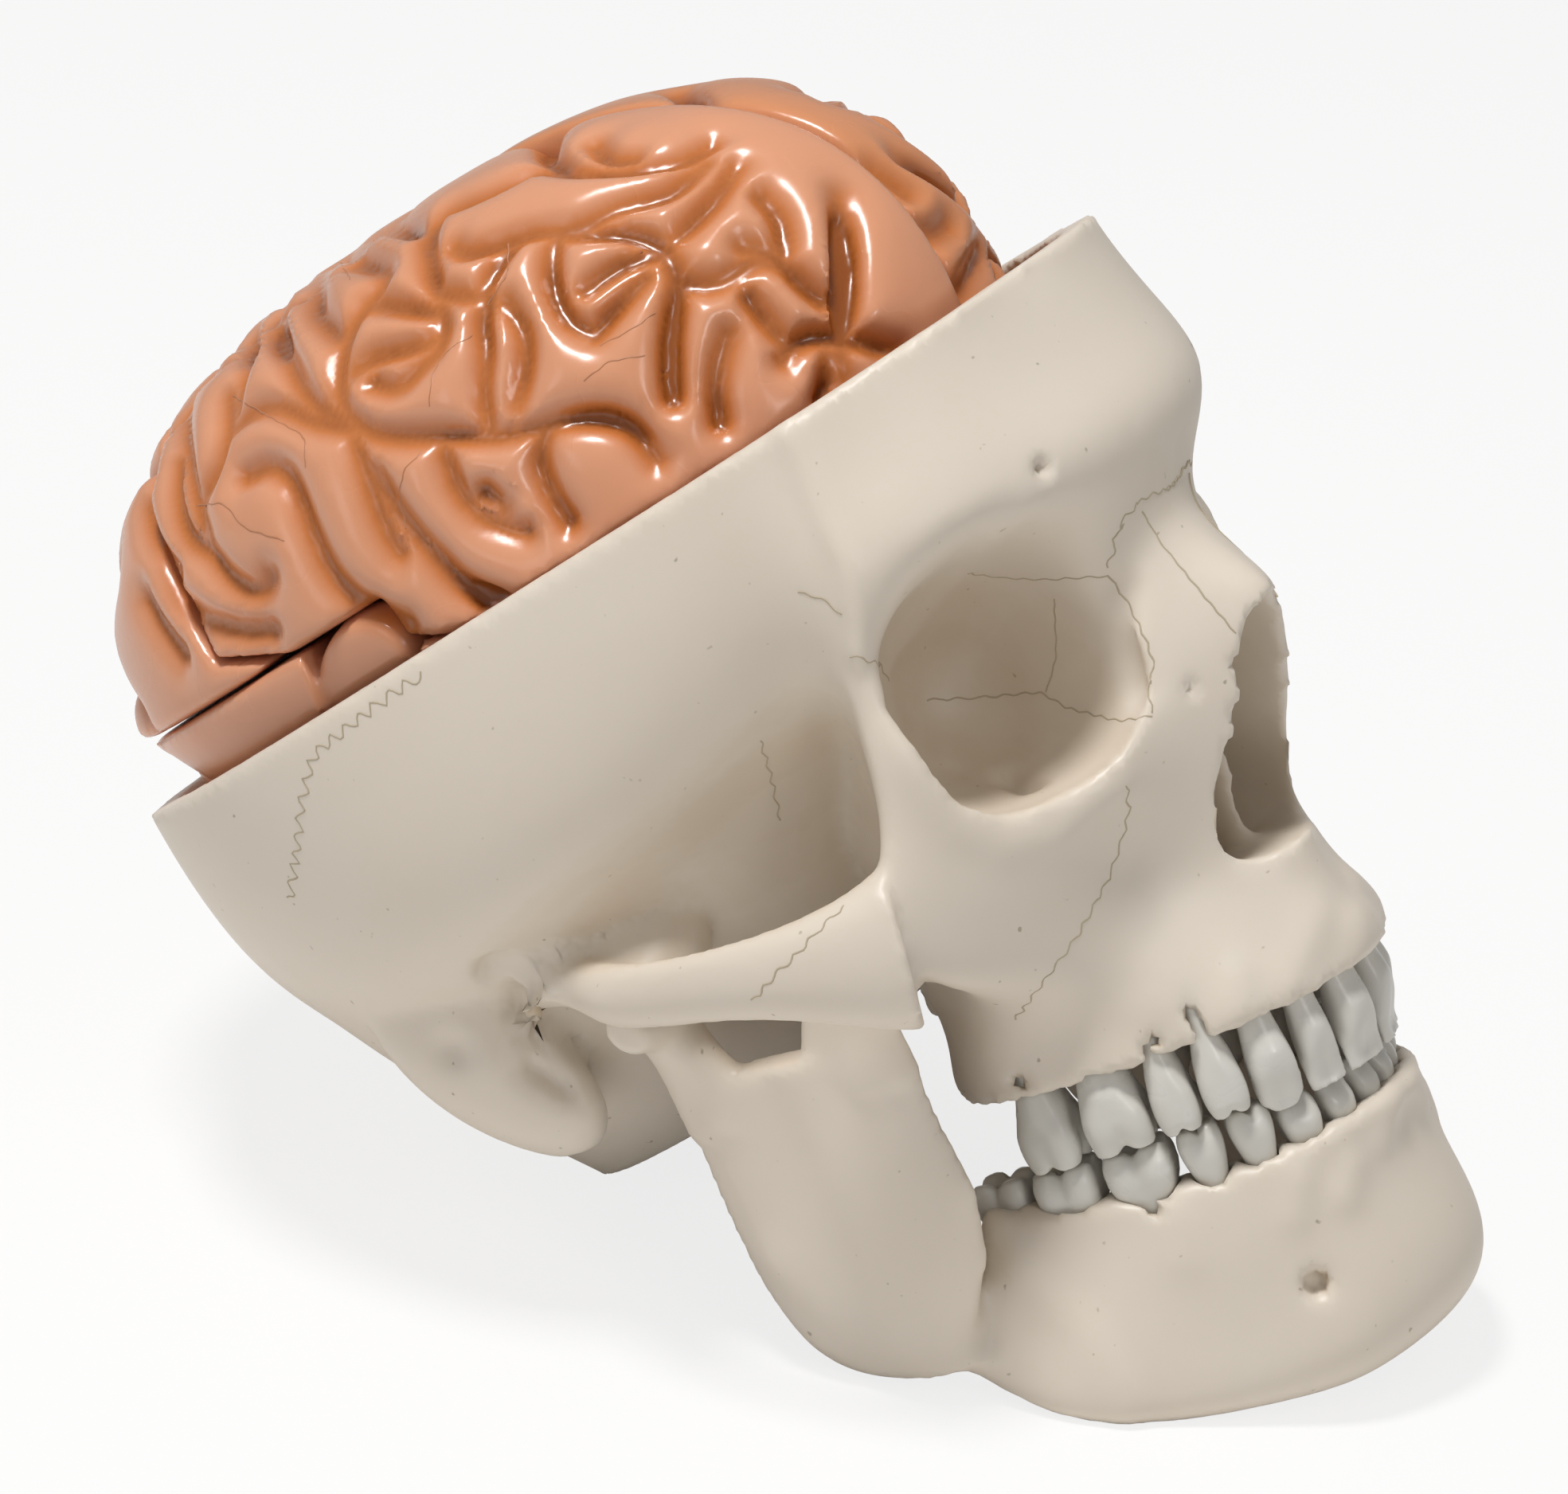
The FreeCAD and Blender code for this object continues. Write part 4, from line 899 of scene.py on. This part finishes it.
def carve_tooth(mesh, kind, upper):
    """Square the crown's corners and cut the grooves between the cusps."""
    p = skull_axes(points_of(mesh))
    middle = p.mean(axis=0)
    biting = p[:, 2].min() if upper else p[:, 2].max()
    from_bite = np.abs(p[:, 2] - biting)
    crown = np.clip(1 - (from_bite - CROWN_LONG) / CROWN_FADE, 0, 1)
    flat = p[:, :2] - middle[:2]
    top = flat[from_bite < CROWN_LONG - 0.5]
    _, axes = np.linalg.eigh(np.cov(top.T))
    u, v = flat @ axes[:, 1], flat @ axes[:, 0]         # along the row of teeth, and across it
    out = MOLAR_CORNERS_OUT if kind == "molar" else CORNERS_OUT
    grow = 1 - out * np.cos(4 * np.arctan2(v, u)) * crown
    u, v = u * grow, v * grow
    steps = np.arange(WIDTH_LEVELS)
    level = np.clip((from_bite / WIDTH_STEP).astype(int), 0, WIDTH_LEVELS - 1)
    wide = np.array([np.abs(u[level == n]).max() if (level == n).any() else np.nan for n in steps])
    target = np.nanmax(wide) * np.interp(steps * WIDTH_STEP, FULL_AT, (BITE_SHARE[kind], *FULL_SHARES))
    stretch = np.clip(np.where(np.isnan(wide), 1, np.maximum(target / wide, 1)), 1, MOST_STRETCH)
    v = v * (1 - ROOT_NARROWS * np.clip((from_bite - ROOT_FROM) / 3, 0, 1))
    u = u * np.interp(from_bite, (steps + 0.5) * WIDTH_STEP, stretch) * crown + u * (1 - crown)
    half_u, half_v = np.abs(u).max(), np.abs(v).max()
    grooved = {"molar": [u / half_u, v / half_v], "premolar": [v / half_v]}.get(kind, [])
    for way in grooved:
        notch = np.exp(-(way / CUSP_WIDE) ** 2)
        p[:, 2] += (1 if upper else -1) * CUSP_DEEP * notch * np.clip(1 - from_bite / CUSP_FADE, 0, 1)
    if kind == "molar":
        slot = np.exp(-(u / half_u / SLOT_WIDE) ** 2) * np.clip(1 - from_bite / SLOT_FADE, 0, 1)
        v = v - np.sign(v) * SLOT_DEEP * slot * (np.abs(v) > half_v / 2)
    flat = np.outer(u, axes[:, 1]) + np.outer(v, axes[:, 0])
    p[:, :2] = flat + middle[:2]
    put_points(mesh, to_table(p))


for name in list(nodes):
    row, _, kind = (name.split("_") + ["", ""])[:3]
    if row in ("upper", "lower"):
        made = even_skin(name + "_resin", name, TOOTH_STEP)
        carve_tooth(made.data, kind, row == "upper")
        smooth_faces(made.data)
        made.data.materials.append(enamel)
        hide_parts(name)
        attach(made, "skull" if row == "upper" else "jaw")

# --- engraved lines --------------------------------------------------------
# Seams between the bones and small vessels over the folds, cut as hairlines in the
# mould. The vessels are stained brown; the seams are a little darker than the bone as
# painted shade of their fine grooves. Each is a fine round bead sunk in the surface by the nodes.
def bead_nodes(name):
    """A node group that lays a round bead along every edge of a line mesh."""
    group = bpy.data.node_groups.new(name, "GeometryNodeTree")
    group.interface.new_socket("Lines", in_out="INPUT", socket_type="NodeSocketGeometry")
    radius = group.interface.new_socket("Bead radius", in_out="INPUT", socket_type="NodeSocketFloat")
    line_colour = group.interface.new_socket("Line colour", in_out="INPUT", socket_type="NodeSocketMaterial")
    group.interface.new_socket("Beads", in_out="OUTPUT", socket_type="NodeSocketGeometry")
    given = add(group, "NodeGroupInput")
    ring = add(group, "GeometryNodeCurvePrimitiveCircle", {"Resolution": 6},
               {"Radius": (given, "Bead radius")})
    curve = add(group, "GeometryNodeMeshToCurve", links={"Mesh": (given, "Lines")})
    tube = add(group, "GeometryNodeCurveToMesh", {"Fill Caps": True},
               {"Curve": (curve, "Curve"), "Profile Curve": (ring, "Curve")})
    real = add(group, "GeometryNodeRealizeInstances", links={"Geometry": (tube, "Mesh")})
    paint = add(group, "GeometryNodeSetMaterial",
                links={"Geometry": (real, "Geometry"), "Material": (given, "Line colour")})
    add(group, "NodeGroupOutput", links={"Beads": (paint, "Geometry")})
    return group, radius.identifier, line_colour.identifier


bead_group, bead_radius, bead_line_colour = bead_nodes("bead_along_lines")
LINE_STEP = 0.0005      # m
TOOTHING = 0.0032       # one tooth of a serrated seam, m
UNEVEN = (0.6, 1.5)     # how the teeth of a seam vary in length
SEAM_BEAD, VESSEL_BEAD, BEAD_SUNK = 0.00017, 0.00015, 0.00008      # radius, and how deep its middle lies, m
VESSEL_WANDER = 0.00010


def drawn_on(tree, pixels, wobble, rng):
    """Where a photo line falls on a surface, with its normals, to and fro by wobble in metres."""
    hits = []
    for px, py in eased(pixels, 4.0, 4):
        place, normal, _, _ = tree.ray_cast(eye, pixel_ray(px, py))
        if place is not None:
            hits.append((*place, *normal))
    if len(hits) < 2:
        return np.zeros((0, 6))
    line = spread(np.array(hits), LINE_STEP)
    aside = np.cross(np.gradient(line[:, :3], axis=0), line[:, 3:])
    aside /= np.maximum(np.linalg.norm(aside, axis=1), 1e-9)[:, None]
    phase = np.cumsum(rng.uniform(*UNEVEN, len(line))) * LINE_STEP / TOOTHING
    to_and_fro = np.abs((phase % 1.0) * 2 - 1) * 2 - 1
    line[:, :3] += aside * (to_and_fro * wobble)[:, None]
    return line


def beads(name, chains, radius, material):
    """One piece of fine beads along chains of points, sunk in the surface they lie on."""
    points, edges = [], []
    for chain in chains:
        first = len(points)
        points += (chain[:, :3] - chain[:, 3:] * BEAD_SUNK).tolist()
        edges += [(n, n + 1) for n in range(first, len(points) - 1)]
    mesh = bpy.data.meshes.new(name)
    mesh.from_pydata(points, edges, [])
    made = in_scene(name, mesh)
    grow = made.modifiers.new("beads", "NODES")
    grow.node_group = bead_group
    grow[bead_radius], grow[bead_line_colour] = radius, material
    keep_result(made)
    smooth_faces(made.data)
    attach(made, "skull")


BONE_SEAMS = {      # wander in mm, photo pixels
    "frontozygomatic": (0.3, [(1067, 824), (1083, 827), (1106, 834), (1116, 856)]),
    "zygomaticotemporal": (0.4, [(1060, 1137), (1030, 1165), (1002, 1196), (972, 1226), (945, 1257)]),
    "zygomaticomaxillary": (0.4, [(1415, 986), (1418, 1019), (1408, 1058), (1392, 1104), (1350, 1180),
        (1275, 1280)]),
    "frontonasal": (0.3, [(1428, 632), (1444, 622), (1470, 613), (1480, 598)]),
    "frontomaxillary": (0.5, [(1428, 632), (1405, 661), (1392, 713)]),
    "nasomaxillary": (0.1, [(1434, 642), (1457, 681), (1515, 752), (1552, 795)]),
    "orbit_upper": (0.2, [(1216, 720), (1262, 726), (1314, 728), (1392, 723)]),
    "lacrimal": (0.2, [(1392, 723), (1418, 759), (1437, 798), (1450, 837), (1441, 863), (1447, 895)]),
    "orbit_lower": (0.2, [(1164, 879), (1229, 876), (1307, 869), (1340, 889), (1405, 905), (1447, 899)]),
    "ethmoid": (0.1, [(1324, 752), (1327, 824), (1314, 869)]),
    "sphenoid": (0.2, [(1002, 743), (1034, 752), (1057, 772)]),
    "lambdoid": (0.9, [(530, 846), (490, 872), (450, 902), (395, 945), (380, 1000), (372, 1065),
        (365, 1130)]),
    "squamous": (0.3, [(955, 930), (968, 975), (980, 1030)]),
}
# Painted shade: the seams' colour, a little darker than the bone, stands in for the shade in their grooves.
line_colour, seam_shade_surface = new_material("painted_shade_in_seams")
seam_shade_surface.inputs["Base Color"].default_value = linear("#B9AB93")
seam_shade_surface.inputs["Roughness"].default_value = 0.8
rng = np.random.default_rng(11)
cranium_tree = tree_of(cranium.data)
seams = [drawn_on(cranium_tree, pixels, wander / 1000, rng) for wander, pixels in BONE_SEAMS.values()]
seams += [seam * [-1, 1, 1, -1, 1, 1] for seam in seams]
beads("bone_seams", seams, SEAM_BEAD, line_colour)

VESSELS = [
    [(529, 568), (507, 590), (501, 619), (510, 663)],
    [(539, 510), (542, 472), (561, 440), (593, 421)],
    [(733, 478), (765, 453), (810, 446)],
    [(753, 434), (791, 415), (823, 392)],
    [(293, 497), (338, 523), (383, 548), (383, 587)],
    [(246, 635), (281, 631), (306, 663), (357, 679)],
    [(446, 274), (421, 319), (440, 351)],
    [(638, 306), (638, 344), (612, 383)],
]
line_paint, line_surface = new_material("brown_glaze_in_hairlines")
line_surface.inputs["Base Color"].default_value = linear("#B77C57")
line_surface.inputs["Roughness"].default_value = 0.4
brain_points, brain_faces = [], []
for lobe in ("frontoparietal", "temporo_occipital"):
    lobe_mesh = bpy.data.objects[f"brain_right_{lobe}_moulding"].data
    first = len(brain_points)
    brain_points += [v.co.copy() for v in lobe_mesh.vertices]
    brain_faces += [[first + i for i in p.vertices] for p in lobe_mesh.polygons]
brain_tree = BVHTree.FromPolygons(brain_points, brain_faces)
vessels = [drawn_on(brain_tree, pixels, VESSEL_WANDER, rng) for pixels in VESSELS]
beads("brain_vessel_lines", vessels, VESSEL_BEAD, line_paint)
